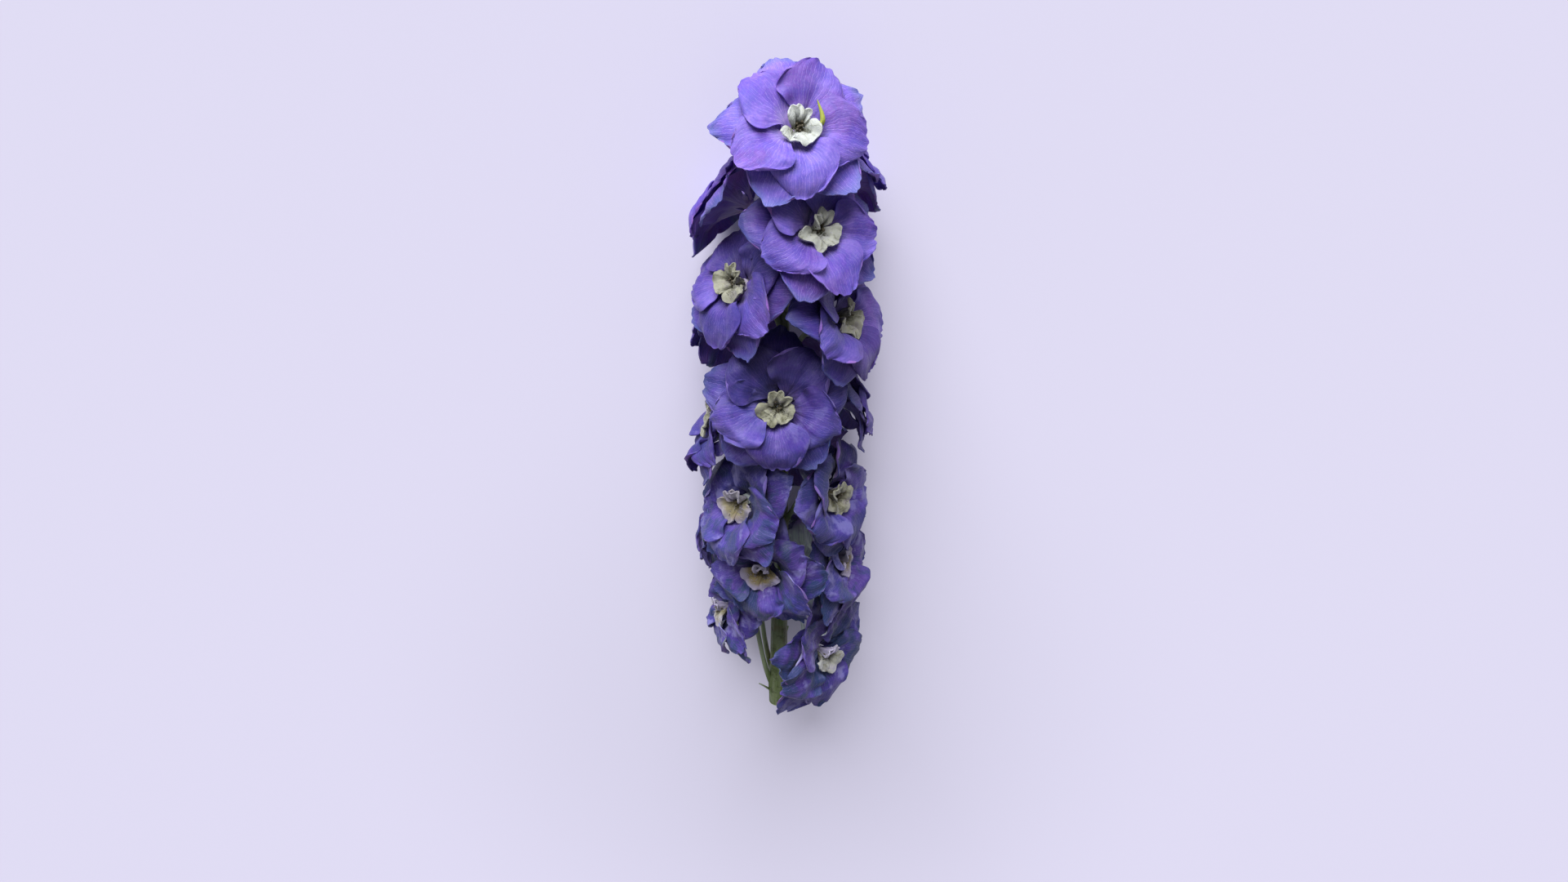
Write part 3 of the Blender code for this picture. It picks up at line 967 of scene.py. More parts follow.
class Graph:
    """The nodes of one material."""

    def __init__(self, name: str):
        """Makes a material with only its Principled shader and its output.

        Args:
            name: The material's name.
        """
        self.material = bpy.data.materials.new(name)
        self.material.use_nodes = True
        self.tree = self.material.node_tree
        self.shader = self.tree.nodes["Principled BSDF"]

    def node(self, kind: str, settings: dict[str, Any] | None = None,
             inputs: dict[Any, Any] | None = None, output: Any = 0) -> Value:
        """Adds a node.

        Args:
            kind: The node's type.
            settings: Its settings, which are set first.
            inputs: The values or links of its sockets, by name or number.
            output: The output to give back, by name or number.

        Returns:
            The wrapped output.
        """
        made = self.tree.nodes.new(kind)
        for key, value in (settings or {}).items():
            setattr(made, key, value)
        for key, value in (inputs or {}).items():
            self.feed(made.inputs[key], value)
        return Value(self, made.outputs[output])

    def feed(self, socket: bpy.types.NodeSocket, value: Any) -> None:
        """Links a value to a socket, or sets the socket to a number or a colour.

        Args:
            socket: The socket.
            value: A wrapped socket, a number or a colour.
        """
        if isinstance(value, Value):
            self.tree.links.new(value.socket, socket)
        elif isinstance(value, (tuple, list)) and socket.type == "RGBA":
            socket.default_value = (*value, 1.0)[:4]
        else:
            socket.default_value = value

    def mix(self, start: Any, end: Any, factor: Any, blend: str = "MIX") -> Value:
        """Mixes two colours.

        Args:
            start: The colour at 0.
            end: The colour at 1.
            factor: How much of the end colour is taken.
            blend: How the colours are blended.

        Returns:
            The mixed colour.
        """
        return self.node("ShaderNodeMix", {"data_type": "RGBA", "blend_type": blend},
                         {0: factor, 6: start, 7: end}, 2)

    def layered(self, colour: Any, *layers: tuple[Any, Any]) -> Any:
        """Lays colours over a first one.

        Args:
            colour: The first colour.
            layers: Each further colour, and how much of it covers the last.

        Returns:
            The colour on top.
        """
        for over, share in layers:
            colour = self.mix(colour, over, share)
        return colour

    def tinted(self, colour: Any, low: Colour, high: Colour, share: Value) -> Value:
        """A colour multiplied by a tint that goes from low to high with a share."""
        return self.mix(colour, self.mix(low, high, share), 1.0, "MULTIPLY")

    def noise(self, where: Value, scale: float, detail: float = 3.0,
              roughness: float = 0.5) -> Value:
        """Smooth noise between about 0.25 and 0.75.

        Args:
            where: The coordinates.
            scale: How fine it is.
            detail: How many octaves it has.
            roughness: How strong the finer octaves are.

        Returns:
            The noise.
        """
        return self.node("ShaderNodeTexNoise", {}, {
            "Vector": where, "Scale": scale, "Detail": detail, "Roughness": roughness})

    def place(self) -> Value:
        """The Object coordinates."""
        return self.node("ShaderNodeTexCoord", output="Object")

    def axis_of(self, where: Value, name: str) -> Value:
        """One of the coordinates X, Y and Z."""
        return self.node("ShaderNodeSeparateXYZ", {}, {0: where}, name)

    def distance(self, where: Value, first: str, second: str,
                 middle: tuple[float, float]) -> Value:
        """Measures how far places are from a middle, along two of the axes.

        Args:
            where: The coordinates.
            first: The first axis.
            second: The second axis.
            middle: The middle on these axes.

        Returns:
            The distance.
        """
        x = self.axis_of(where, first) - middle[0]
        y = self.axis_of(where, second) - middle[1]
        return (x * x + y * y) ** 0.5

    def settle(self, settings: dict[str, Any]) -> Material:
        """Sets the shader's sockets.

        Args:
            settings: The values or links, by the names of the sockets.

        Returns:
            The material.
        """
        for key, value in settings.items():
            self.feed(self.shader.inputs[key], value)
        return self.material

    def finish(self, colour: Value, grain: Value, relief: Value, skin: Skin) -> Material:
        """Connects the shader.

        Args:
            colour: The surface's colour.
            grain: Fine noise that varies the roughness.
            relief: The height for the bump.
            skin: The constants.

        Returns:
            The material.
        """
        return self.settle({
            "Base Color": colour,
            "Roughness": grain.ramp(0.3, 0.7, *skin.roughness),
            "Normal": self.node("ShaderNodeBump", {}, {
                "Strength": skin.bump, "Distance": skin.bump_depth, "Height": relief}),
            "Specular IOR Level": skin.specular,
            "Sheen Weight": skin.sheen,
            "Sheen Roughness": skin.sheen_roughness,
            "Subsurface Weight": skin.subsurface,
            "Subsurface Radius": skin.radius,
            "Subsurface Scale": skin.scale,
        })


class Marks:
    """What the finishes read: the place on a petal, and the marks of its piece.

    The tint is the petal's own and the height its floret's place on the spike. The kind is 1 on
    an outer sepal, a bee's upper petal or an anther. The painted shade is how deep the place lies
    under the floret above and towards the stem, and darkens it there.
    """

    def __init__(self, graph: Graph):
        """Adds the nodes that read them.

        Args:
            graph: The material's nodes.
        """
        uv = graph.node("ShaderNodeUVMap", {"uv_map": UV_MAP})
        self.across = graph.axis_of(uv, "X") * 2 - 1
        self.along = graph.axis_of(uv, "Y")
        shade, self.painted_shade = (
            graph.node("ShaderNodeAttribute", {"attribute_name": SHADE}, output=output)
            for output in ("Vector", "Alpha"))
        self.tint, self.height, self.kind = (graph.axis_of(shade, name) for name in "XYZ")

    def lines(self, count: float, wander: Value, sharpness: float) -> Value:
        """Thin lines that run from root to tip, 1 on a line and 0 between."""
        wave = (self.across * (count * math.pi / 2) + wander).sin().abs()
        return (1 - wave) ** sharpness


@dataclass(frozen=True)
class SepalFinish:
    """The skin of a sepal's front: finely veined blue-violet with blue-green tips."""

    throat: Colour = (0.280, 0.215, 0.560)
    body: Colour = (0.092, 0.052, 0.385)
    light: Colour = (0.205, 0.140, 0.575)
    purple: Colour = (0.135, 0.046, 0.290)
    blue: Colour = (0.052, 0.066, 0.350)
    teal: Colour = (0.040, 0.100, 0.235)
    vein: Colour = (0.290, 0.220, 0.640)
    pale_vein: Colour = (0.600, 0.540, 0.840)
    splash: Colour = (0.430, 0.440, 0.790)
    shadow: Colour = (0.022, 0.080, 0.175)
    low_tint: Colour = (0.47, 0.44, 0.54)
    high_tint: Colour = (1.30, 1.22, 1.12)
    painted_shade_tint: Colour = (0.43, 0.40, 0.50)
    skin: Skin = Skin((0.50, 0.68), bump=0.55, specular=0.30, sheen=0.10, sheen_roughness=0.45,
                      subsurface=0.12, radius=(0.5, 0.3, 1.0))

    def build(self) -> Material:
        """Makes the material.

        Returns:
            The material of the sepals' fronts.
        """
        graph = Graph("sepal_front")
        marks, where = Marks(graph), graph.place()
        along, height, tint = marks.along, marks.height, marks.tint
        clouds = graph.noise(where, 95, 3)
        patches = graph.noise(where, 40, 2)
        mottle = graph.noise(where, 420, 4, 0.6)
        splashes = graph.noise(where, 75, 5, 0.62)
        grain = graph.noise(where, 1500, 2)
        wander = (graph.noise(where, 230, 4, 0.65) - 0.5) * 4.5
        veins = (marks.lines(11, wander, 4.5) * along.ramp(0.8, 0.3, 0.2, 0.9)
                 + marks.lines(23, wander * 1.6, 3.5) * along.ramp(0.20, 0.50) * 0.7
                 + marks.lines(45, wander * 2.4, 2.5) * along.ramp(0.45, 0.75) * 0.5)
        veins = veins * graph.noise(where, 1300, 2).ramp(0.30, 0.60, 0.35, 1.0)
        vein = graph.mix(self.pale_vein, self.vein, along.ramp(0.2, 0.5))
        edge = marks.across.abs().ramp(0.80, 1.0) + along.ramp(0.93, 1.0)
        worn = edge * (tint - height * 0.4).ramp(0.3, 0.9) * 0.4
        low = height.ramp(0.80, 0.15)
        colour = graph.layered(
            self.throat,
            (self.body, (along + (clouds - 0.5) * 0.2).ramp(0.14, 0.44)),
            (self.light, clouds.ramp(0.40, 0.66) * 0.60),
            (self.blue, patches.ramp(0.46, 0.62) * height.ramp(1.0, 0.2, 0.25, 0.8)),
            (self.purple, (patches + tint * 0.08).ramp(0.50, 0.38) * 0.45),
            (self.light, edge * clouds.ramp(0.35, 0.6) * 0.35),
            (self.teal, (along.ramp(0.80, 0.99) * marks.kind + worn) * 0.6),
            (self.blue, mottle.ramp(0.56, 0.40) * 0.30),
            (self.light, mottle.ramp(0.52, 0.68) * 0.25),
            (self.splash, splashes.ramp(0.54, 0.62) * low * 0.70),
            (self.shadow, splashes.ramp(0.52, 0.43) * low * 0.85),
            (vein, veins * clouds.ramp(0.25, 0.55, 0.15, 0.60)))
        # Painted shade: darker under the floret above and towards the stem.
        colour = graph.tinted(colour, WHITE, self.painted_shade_tint, marks.painted_shade)
        # Darker and bluer down the spike and brightest at the tip: partly the lower florets' own
        # bluer tone, partly painted shade low down and a painted highlight at the top.
        colour = graph.tinted(colour, self.low_tint, self.high_tint,
                              (height + (tint - 0.5) * 0.25).ramp(0.55, 1.05))
        relief = veins * -0.5 + grain * 0.45 + clouds * 0.6 + mottle * 0.8
        return graph.finish(colour, grain, relief, self.skin)


@dataclass(frozen=True)
class SepalBackFinish:
    """The back of a sepal: pale green at the root, dull blue-violet outwards."""

    root: Colour = (0.700, 0.800, 0.740)
    body: Colour = (0.115, 0.080, 0.330)
    purple: Colour = (0.150, 0.065, 0.260)
    light: Colour = (0.130, 0.120, 0.330)
    green: Colour = (0.080, 0.170, 0.180)
    high_tint: Colour = (1.70, 1.45, 1.55)
    skin: Skin = Skin((0.55, 0.72), bump=0.6, specular=0.3, sheen=0.10, subsurface=0.12,
                      radius=(0.5, 0.4, 0.9))

    def build(self) -> Material:
        """Makes the material.

        Returns:
            The material of the sepals' backs and the spurs.
        """
        graph = Graph("sepal_back")
        marks, where = Marks(graph), graph.place()
        along, height = marks.along, marks.height
        clouds = graph.noise(where, 80, 3)
        patches = graph.noise(where, 45, 2)
        grain = graph.noise(where, 1500, 2)
        wander = (graph.noise(where, 190, 3) - 0.5) * 2.2
        veins = (marks.lines(9, wander, 4.0)
                 + marks.lines(19, wander * 1.5, 3.0) * along.ramp(0.2, 0.5) * 0.7)
        rib = marks.across.abs().ramp(0.22, 0.02)
        reach = height.ramp(0.55, 0.1, 0.0, 0.50)
        base = (along + (clouds - 0.5) * 0.45 - rib * 0.12 - reach).ramp(0.40, 0.12)
        colour = graph.layered(
            self.body,
            (self.purple, patches.ramp(0.45, 0.60) * 0.7),
            (self.light, clouds.ramp(0.45, 0.65) * 0.5),
            (self.root, base * height.ramp(0.95, 0.45, 0.25, 0.90)),
            (self.green, rib * along.ramp(0.55, 0.95) * marks.kind * 0.8),
            (self.purple, veins * 0.40))
        # Painted light: the backs of the upper florets are lightened where they lie in shade.
        colour = graph.tinted(colour, WHITE, self.high_tint, height.ramp(0.5, 0.9))
        return graph.finish(colour, grain, veins * 0.8 + grain * 0.5 + rib * 0.6, self.skin)


@dataclass(frozen=True)
class BeeFinish:
    """The small petals of the bee: cream with an olive throat that is partly painted shade, brown
    and lilac low down.
    """

    cream: Colour = (0.470, 0.495, 0.475)
    olive: Colour = (0.140, 0.150, 0.085)
    brown: Colour = (0.190, 0.140, 0.055)
    lilac: Colour = (0.330, 0.290, 0.480)
    painted_shade_tint: Colour = (0.52, 0.50, 0.42)
    low_tint: Colour = (0.57, 0.54, 0.43)
    skin: Skin = Skin((0.6, 0.8), bump=0.8, specular=0.25, sheen=0.3, subsurface=0.15,
                      radius=(0.8, 0.7, 0.4), scale=0.0015)

    def build(self) -> Material:
        """Makes the material.

        Returns:
            The material of the bees' petals and hairs.
        """
        graph = Graph("bee_petal")
        marks, where = Marks(graph), graph.place()
        across, along, height, upper = marks.across, marks.along, marks.height, marks.kind
        clouds = graph.noise(where, 380, 3)
        blots = graph.noise(where, 170, 4, 0.6)
        fuzz = graph.noise(where, 2600, 2)
        lines = ((across * 6.0 + (clouds - 0.5) * 3.0).sin().abs() - 1).abs() ** 2.5
        streaks = lines * blots.ramp(0.35, 0.65)
        # Olive at the root and in streaks along the folds: partly the bee's own olive tone, partly
        # painted shade deep in the throat and in the folds.
        colour = graph.layered(
            self.olive,
            (self.cream, (along + (clouds - 0.5) * 0.9).ramp(0.18, 0.62)),
            (self.olive, streaks * 0.55),
            (self.olive, blots.ramp(0.50, 0.68) * height.ramp(1.1, 0.3, 0.35, 0.9)),
            (self.lilac, blots.ramp(0.46, 0.34) * height.ramp(0.95, 0.4, 0.1, 0.8)))
        colour = graph.tinted(colour, self.low_tint, WHITE,
                              height.ramp(0.70, 0.98) + height.ramp(0.10, 0.02) * 0.7)
        # Painted shade: darker under the floret above and towards the stem.
        colour = graph.tinted(colour, WHITE, self.painted_shade_tint, marks.painted_shade)
        low = height.ramp(0.45, 0.22) * height.ramp(0.0, 0.12, 0.2, 1.0)
        ring = low * (along + (clouds - 0.5) * 0.6).ramp(1.15, 0.60) * (1 - upper * 0.7)
        rim = low * (along + (blots - 0.5) * 0.5 + across.abs() * 0.15).ramp(0.72, 0.98)
        colour = graph.layered(
            colour,
            (self.brown, ring * 0.90),
            (self.lilac, rim * (1 - upper) * 0.75),
            (self.olive, lines * low * along.ramp(0.9, 0.5) * 0.6),
            (self.lilac, upper * height.ramp(0.45, 0.22) * 0.65),
            (self.brown, marks.tint.ramp(0.6, 1.0) * along.ramp(0.7, 0.2) * 0.5))
        return graph.finish(colour, fuzz, fuzz + streaks * 0.6, self.skin)


@dataclass(frozen=True)
class StamenFinish:
    """The stamens: pale filaments with dark olive anthers, and fresh green on the stray one."""

    filament: Colour = (0.520, 0.520, 0.300)
    fresh: Colour = (0.270, 0.300, 0.040)
    anther: Colour = (0.060, 0.050, 0.030)
    skin: Skin = Skin((0.6, 0.85), bump=0.6, bump_depth=0.0002)

    def build(self) -> Material:
        """Makes the material.

        Returns:
            The material of the stamens.
        """
        graph = Graph("stamen")
        marks, grain = Marks(graph), graph.noise(graph.place(), 3000, 2)
        bundle = graph.mix(self.filament, self.anther,
                           (marks.kind + (grain - 0.5) * 0.2).ramp(0.4, 0.6))
        return graph.finish(graph.mix(self.fresh, bundle, marks.tint), grain, grain, self.skin)


@dataclass(frozen=True)
class StemFinish:
    """Fresh green skin with pale lengthwise streaks, and a pale cut face."""

    end: float
    middle: tuple[float, float]
    green: Colour = (0.085, 0.125, 0.035)
    light: Colour = (0.170, 0.205, 0.110)
    olive: Colour = (0.105, 0.090, 0.035)
    dark: Colour = (0.045, 0.060, 0.020)
    thin: Colour = (0.310, 0.370, 0.230)
    cut: Colour = (0.400, 0.460, 0.260)
    streak: Point = (900, 60, 900)
    skin: Skin = Skin((0.48, 0.66), bump=0.8, bump_depth=0.0004, specular=0.4, subsurface=0.08,
                      radius=(0.4, 0.8, 0.2))

    def build(self) -> Material:
        """Makes the material.

        Returns:
            The material of the stem, its pedicels and bracts.
        """
        graph = Graph("stem_skin")
        where = graph.place()
        stretched = graph.node("ShaderNodeVectorMath", {"operation": "MULTIPLY"},
                               {0: where, 1: self.streak})
        streaks = graph.noise(stretched, 1.0, 3)
        patches = graph.noise(where, 110, 3)
        spots = graph.noise(where, 320, 4, 0.65)
        grain = graph.noise(where, 1800, 2)
        away = graph.distance(where, "X", "Z", self.middle)
        along = graph.axis_of(where, "Y")
        colour = graph.layered(
            self.green,
            (self.light, streaks.ramp(0.38, 0.62) * 0.8),
            (self.olive, patches.ramp(0.5, 0.66) * 0.6),
            (self.dark, spots.ramp(0.50, 0.36) * 0.7),
            (self.thin, away.ramp(0.0050, 0.0085) * 0.75),
            (self.cut, along.ramp(self.end + 0.0004, self.end + 0.0001)))
        return graph.finish(colour, grain, streaks + spots * 1.2 + grain * 0.4, self.skin)


@dataclass(frozen=True)
class FloorFinish:
    """A pale lavender surface with a painted shadow pool beyond the stem's cut end. It glows a
    little beside the spike, painted light that keeps shadows light.
    """

    colour: Colour = (0.745, 0.716, 0.896)
    painted_shadow: Colour = (0.675, 0.650, 0.812)
    painted_shadow_middle: tuple[float, float] = (0.0, -0.20)
    glow: float = 0.28

    def build(self) -> Material:
        """Makes the material.

        Returns:
            The floor's material.
        """
        graph = Graph("pale_floor")
        where = graph.place()
        # Painted shadow: a darker pool round a point beyond the stem's cut end.
        away = graph.distance(where, "X", "Y", self.painted_shadow_middle)
        colour = graph.mix(self.painted_shadow, self.colour, away.ramp(0.03, 0.24))
        beside = graph.axis_of(where, "X").abs().ramp(0.020, 0.048)
        below = graph.axis_of(where, "Y").ramp(-0.130, -0.160)
        glow = (beside + below * (1 - beside)) * self.glow
        return graph.settle({"Base Color": graph.mix(colour, BLACK, glow),
                             "Emission Color": graph.mix(BLACK, colour, glow),
                             "Emission Strength": 1.0,
                             "Roughness": 0.9,
                             "Specular IOR Level": 0.1})

    def build_glow(self) -> Material:
        """Makes the backdrop's material, which shows the floor's colour.

        Returns:
            The backdrop's material.
        """
        return Graph("pale_backdrop").settle({
            "Base Color": BLACK, "Specular IOR Level": 0.0,
            "Emission Color": self.colour, "Emission Strength": 1.0})


@dataclass
class SepalWhorls:
    """The sepals and the spur of one floret."""

    plan: SpikePlan
    floret: Floret
    wall: float = 0.00045
    hub_r: float = 0.0024
    hub_back: float = -0.0012
    hub_front: float = 0.0040
    spur_knots: tuple[Point, ...] = (
        (0, 0.0012, 0.0), (0, 0.0040, -0.0036), (0, 0.0090, -0.0064), (0, 0.0142, -0.0068))
    spur_rings: int = 14
    spur_r: float = 0.0014
    back_reach: float = 0.030
    back_across: float = 0.62

    def build(self, blank: PetalBlank, materials: Sequence[Material]) -> Piece:
        """Makes the piece.

        Args:
            blank: The sheet that each sepal is copied from.
            materials: The finishes of the front and of the back.

        Returns:
            The finished piece.
        """
        name = f"sepals_{self.floret.index + 1:02d}"
        petals = []
        for sepal in self.plan.sepals(self.floret):
            shade = (sepal.tint, self.floret.share, float(sepal.ring is Ring.OUTER))
            petals.append(blank.copy(
                lambda u, v, s=sepal: self.plan.fine_points(self.floret, s, u, v), shade,
                lambda points: self.plan.painted_shade_depth(self.floret, points)))
        whorls = join(petals, name)
        flip_to(whorls, self.floret.axes[:, 2])
        paint(whorls, *materials)
        thicken(whorls, self.wall, material_offset=Face.BACK.value,
                material_offset_rim=Face.FRONT.value)
        back = self.build_back(name + "_back")
        paint(back, *materials)
        back.data.polygons.foreach_set(
            "material_index", [Face.BACK.value] * len(back.data.polygons))
        return smooth(join([whorls, back], name), 60)

    def build_back(self, name: str) -> Piece:
        """Makes the hub and the spur as one mesh.

        Args:
            name: The mesh's name.

        Returns:
            The mesh, with the marks that the back's finish reads.
        """
        floret = self.floret
        knots = [floret.to_world(np.array(knot) * floret.size) for knot in self.spur_knots]
        last = self.spur_rings - 1
        radii = [self.spur_r * (1 - 0.62 * k / last) for k in range(last)] + [self.spur_r * 0.2]
        ends = [floret.hub + floret.axes[:, 2] * out
                for out in (self.hub_back + 0.0001, self.hub_back + 0.0008, self.hub_front)]
        back = tube([(smooth_path(knots, self.spur_rings), radii),
                     (ends, [self.hub_r * 0.7, self.hub_r, self.hub_r])], 3, name)
        corners = np.zeros(len(back.data.loops), np.int32)
        back.data.loops.foreach_get("vertex_index", corners)
        out = np.linalg.norm(coordinates(back) - floret.hub, axis=1)
        along = np.clip(out / self.back_reach, 0, 1)[corners]
        mark(back, (0.5, floret.share, 0.0), 1.0,
             np.stack([np.full_like(along, self.back_across), along], -1))
        return back


@dataclass(frozen=True)
class Lobe:
    """One small petal of a bee: where it stands, how large it is and how it opens.

    Half its width is given as a share of the distance from the floret's axis, in spread.
    """

    angle: float
    length: float
    spread: float
    slope_root: float
    slope_tip: float
    notch: float
    bearded: bool


UPPER_LOBES = tuple(Lobe(math.radians(angle), 0.0110, 0.92, math.radians(88), math.radians(58),
                         0.03, False) for angle in (66, 114))
LOWER_LOBES = tuple(Lobe(math.radians(angle), 0.0114, 1.05, math.radians(78), math.radians(26),
                         0.05, True) for angle in (224, 316))


@dataclass
class Bee:
    """The bee of one floret: two pairs of small petals round the stamens.

    Each of the rumples is a wave, as a share of folds, and how far from the root it is full.
    The stray stamen stands beside the bee of the top floret only.
    """

    plan: SpikePlan
    floret: Floret
    lobes: tuple[Lobe, ...] = UPPER_LOBES + LOWER_LOBES
    root_out: float = 0.0013
    base: float = 0.0051
    wall: float = 0.0007
    folds: float = 0.00060
    notch_width: float = 0.25
    corner: float = 0.24
    jags: tuple[Wave, ...] = (Wave(0.035, 4.2), Wave(0.010, 13.0, 0.0, -2.0))
    rumples: tuple[tuple[Wave, float], ...] = (
        (Wave(1.0, 5.2), 0.5), (Wave(0.7, 4.0, 5.0, 2.0), 0.4),
        (Wave(0.35, 11.0, -4.0, 3.0), 0.5))
    rim_drop: float = 0.0016
    cup: float = 0.0016
    overlap: float = 0.0005
    stamens: int = 12
    stamen_foot: float = 0.0008
    stamen_lean: tuple[float, float] = (0.0002, 0.0016)
    stamen_height: tuple[float, float] = (0.0034, 0.0062)
    anther_from: float = 0.0030
    anther_blend: float = 0.0008
    filament_radii: tuple[float, ...] = (
        0.00024, 0.0002, 0.0002, 0.0002, 0.00030, 0.00052, 0.00050, 0.00020)
    hairs: int = 30
    hair_length: float = 0.0014
    hair_play: tuple[float, float] = (0.7, 1.2)
    hair_across: float = 0.45
    hair_along: tuple[float, float] = (0.40, 0.86)
    hair_stray: float = 0.35
    hair_radii: tuple[float, ...] = (0.00012, 0.0001, 0.00003)
    hair_place: tuple[float, float] = (0.56, 0.9)
    clearance: float = 0.0005
    clearance_softness: float = 0.0003
    touch: float = 0.0001
    bundle: float = 0.0034
    bundle_blend: float = 0.001
    stray: tuple[Point, ...] = (
        (0.0008, 0.0002, 0.0056), (0.0040, 0.0008, 0.0096), (0.0078, -0.0012, 0.0122),
        (0.0088, 0.0014, 0.0128), (0.0079, 0.0072, 0.0136))
    stray_radii: tuple[tuple[float, ...], ...] = (
        (0.0, 0.5, 0.75, 1.0), (0.0004, 0.0011, 0.0010, 0.0002))

    def lobe_points(self, lobe: Lobe, start: float, u: Array, v: Array) -> Array:
        """Points of one small petal.

        Args:
            lobe: The petal.
            start: Where its folds start.
            u: The places across.
            v: The places along.

        Returns:
            The points in the part's frame.
        """
        jag = sum(wave(u, v, start) for wave in self.jags)
        cut_in = lobe.notch * bump_at(u, 0.0, self.notch_width) + self.corner * u**4 + jag
        out, height, slope = self.plan.arc(
            v * (1 - cut_in * v**3), lobe.length * self.floret.size,
            (lobe.slope_root, lobe.slope_tip), self.root_out)
        side = u * out * lobe.spread * (0.86 + 0.30 * v - 0.28 * v**4)
        rumple = self.folds * sum(wave(u, v, start) * smooth_step(v / full)
                                  for wave, full in self.rumples)
        rim = self.rim_drop * smooth_step((v - 0.60) / 0.40) ** 2
        lift = self.cup * u**2 * v + self.overlap * u * v + rumple - rim
        out = out - lift * np.sin(slope)
        cos, sin = math.cos(lobe.angle), math.sin(lobe.angle)
        world = self.floret.to_world(np.stack([
            out * cos - side * sin, out * sin + side * cos,
            self.base + height + lift * np.cos(slope)], -1))
        world[..., 2] += soft_excess(self.clearance - world[..., 2], self.clearance_softness)
        return world

    def varied(self, lobe: Lobe, start: float) -> Lobe:
        """Turns, draws out and raises a petal a little, so that no two bees match.

        Args:
            lobe: The petal.
            start: Where its folds start.

        Returns:
            The varied petal.
        """
        return replace(lobe, angle=lobe.angle + 0.13 * math.sin(3 * start),
                       length=lobe.length * (1 + 0.10 * math.sin(5 * start)),
                       slope_tip=lobe.slope_tip + 0.20 * math.sin(7 * start))

    def build_beard(self, name: str, tint: float, draw: random.Random) -> Piece:
        """Makes the short hairs on the inside of the lower petals.

        Args:
            name: The mesh's name.
            tint: The bee's own tint.
            draw: The seeded source of numbers.

        Returns:
            The hairs, with the petals' marks.
        """
        hairs = []
        for lobe in self.lobes:
            for _ in range(self.hairs if lobe.bearded else 0):
                u = np.array([draw.uniform(-self.hair_across, self.hair_across)] * 2)
                v = np.array([draw.uniform(*self.hair_along)] * 2)
                foot = self.lobe_points(lobe, 0.0, u, v)[0]
                inward = self.floret.axes @ np.array(
                    (-math.cos(lobe.angle) * 0.6, -math.sin(lobe.angle) * 0.6, 0.8))
                stray = np.array([draw.uniform(-self.hair_stray, self.hair_stray)
                                  for _ in range(3)])
                grown = (inward + stray) * self.hair_length * draw.uniform(*self.hair_play)
                tip = foot + grown
                hairs.append(([foot, (foot + tip) / 2, tip], self.hair_radii))
        beard = tube(hairs, 0, name)
        mark(beard, (tint, self.floret.share, 0.0),
             self.plan.painted_shade_depth(self.floret, coordinates(beard)), self.hair_place)
        return beard

    def build_stamens(self, name: str, draw: random.Random) -> Piece:
        """Makes the stamens, each a thin filament with an anther at its end.

        Args:
            name: The mesh's name.
            draw: The seeded source of numbers.

        Returns:
            The stamens, with the marks that their finish reads.
        """
        filaments = []
        if self.floret.share == 1:
            path = smooth_path(self.stray, 12)
            radii = np.interp(np.linspace(0, 1, len(path)), *self.stray_radii)
            filaments.append((path, radii))
        for _ in range(self.stamens):
            turn = draw.uniform(0, FULL_TURN)
            foot = self.stamen_foot * math.sqrt(draw.random())
            lean = draw.uniform(*self.stamen_lean)
            tall = draw.uniform(*self.stamen_height)
            across = np.array((math.cos(turn), math.sin(turn), 0))
            low = across * foot + np.array((0, 0, self.base - 0.0002))
            high = across * (foot + lean) + np.array((0, 0, self.base + tall))
            middle = (low + high) / 2 - across * lean * 0.3
            tip = high + (high - middle) * 0.28
            shaft = smooth_path([low, middle, high], 5)
            head = smooth_path([high, (high + tip) / 2, tip], 4)
            filaments.append(([*shaft, *head[1:]], self.filament_radii))
        stamens = tube([([self.floret.to_world(point) for point in points], radii)
                        for points, radii in filaments], 1, name)
        local = self.floret.to_local(coordinates(stamens))
        anther = smooth_step((local[:, 2] - self.base - self.anther_from) / self.anther_blend)
        away = np.hypot(local[:, 0], local[:, 1])
        inside = 1 - smooth_step((away - self.bundle) / self.bundle_blend)
        mark(stamens, np.stack([inside, np.ones_like(inside), anther * inside], -1), 1.0)
        return stamens

    def build(self, blank: PetalBlank, petal: Material, stamen: Material) -> Piece:
        """Makes the piece.

        Args:
            blank: The sheet that each petal is copied from.
            petal: The finish of the petals and their hairs.
            stamen: The finish of the stamens.

        Returns:
            The finished piece.
        """
        name = f"bee_{self.floret.index + 1:02d}"
        draw = random.Random(self.plan.seed * 500 + self.floret.index)
        tint = draw.random()
        sheets = []
        for lobe in self.lobes:
            start = draw.uniform(0, FULL_TURN)
            sheets.append(blank.copy(
                lambda u, v, l=self.varied(lobe, start), s=start: self.lobe_points(l, s, u, v),
                (tint, self.floret.share, float(not lobe.bearded)),
                lambda points: self.plan.painted_shade_depth(self.floret, points)))
        petals = join(sheets, name)
        paint(petals, petal)
        thicken(petals, self.wall)
        beard = self.build_beard(name + "_beard", tint, draw)
        paint(beard, petal)
        stamens = self.build_stamens(name + "_stamens", draw)
        paint(stamens, stamen)
        piece = join([petals, beard, stamens], name)
        points = coordinates(piece)
        points[:, 2] += soft_excess(self.touch - points[:, 2], self.touch)
        place(piece, points)
        return smooth(piece, 60)


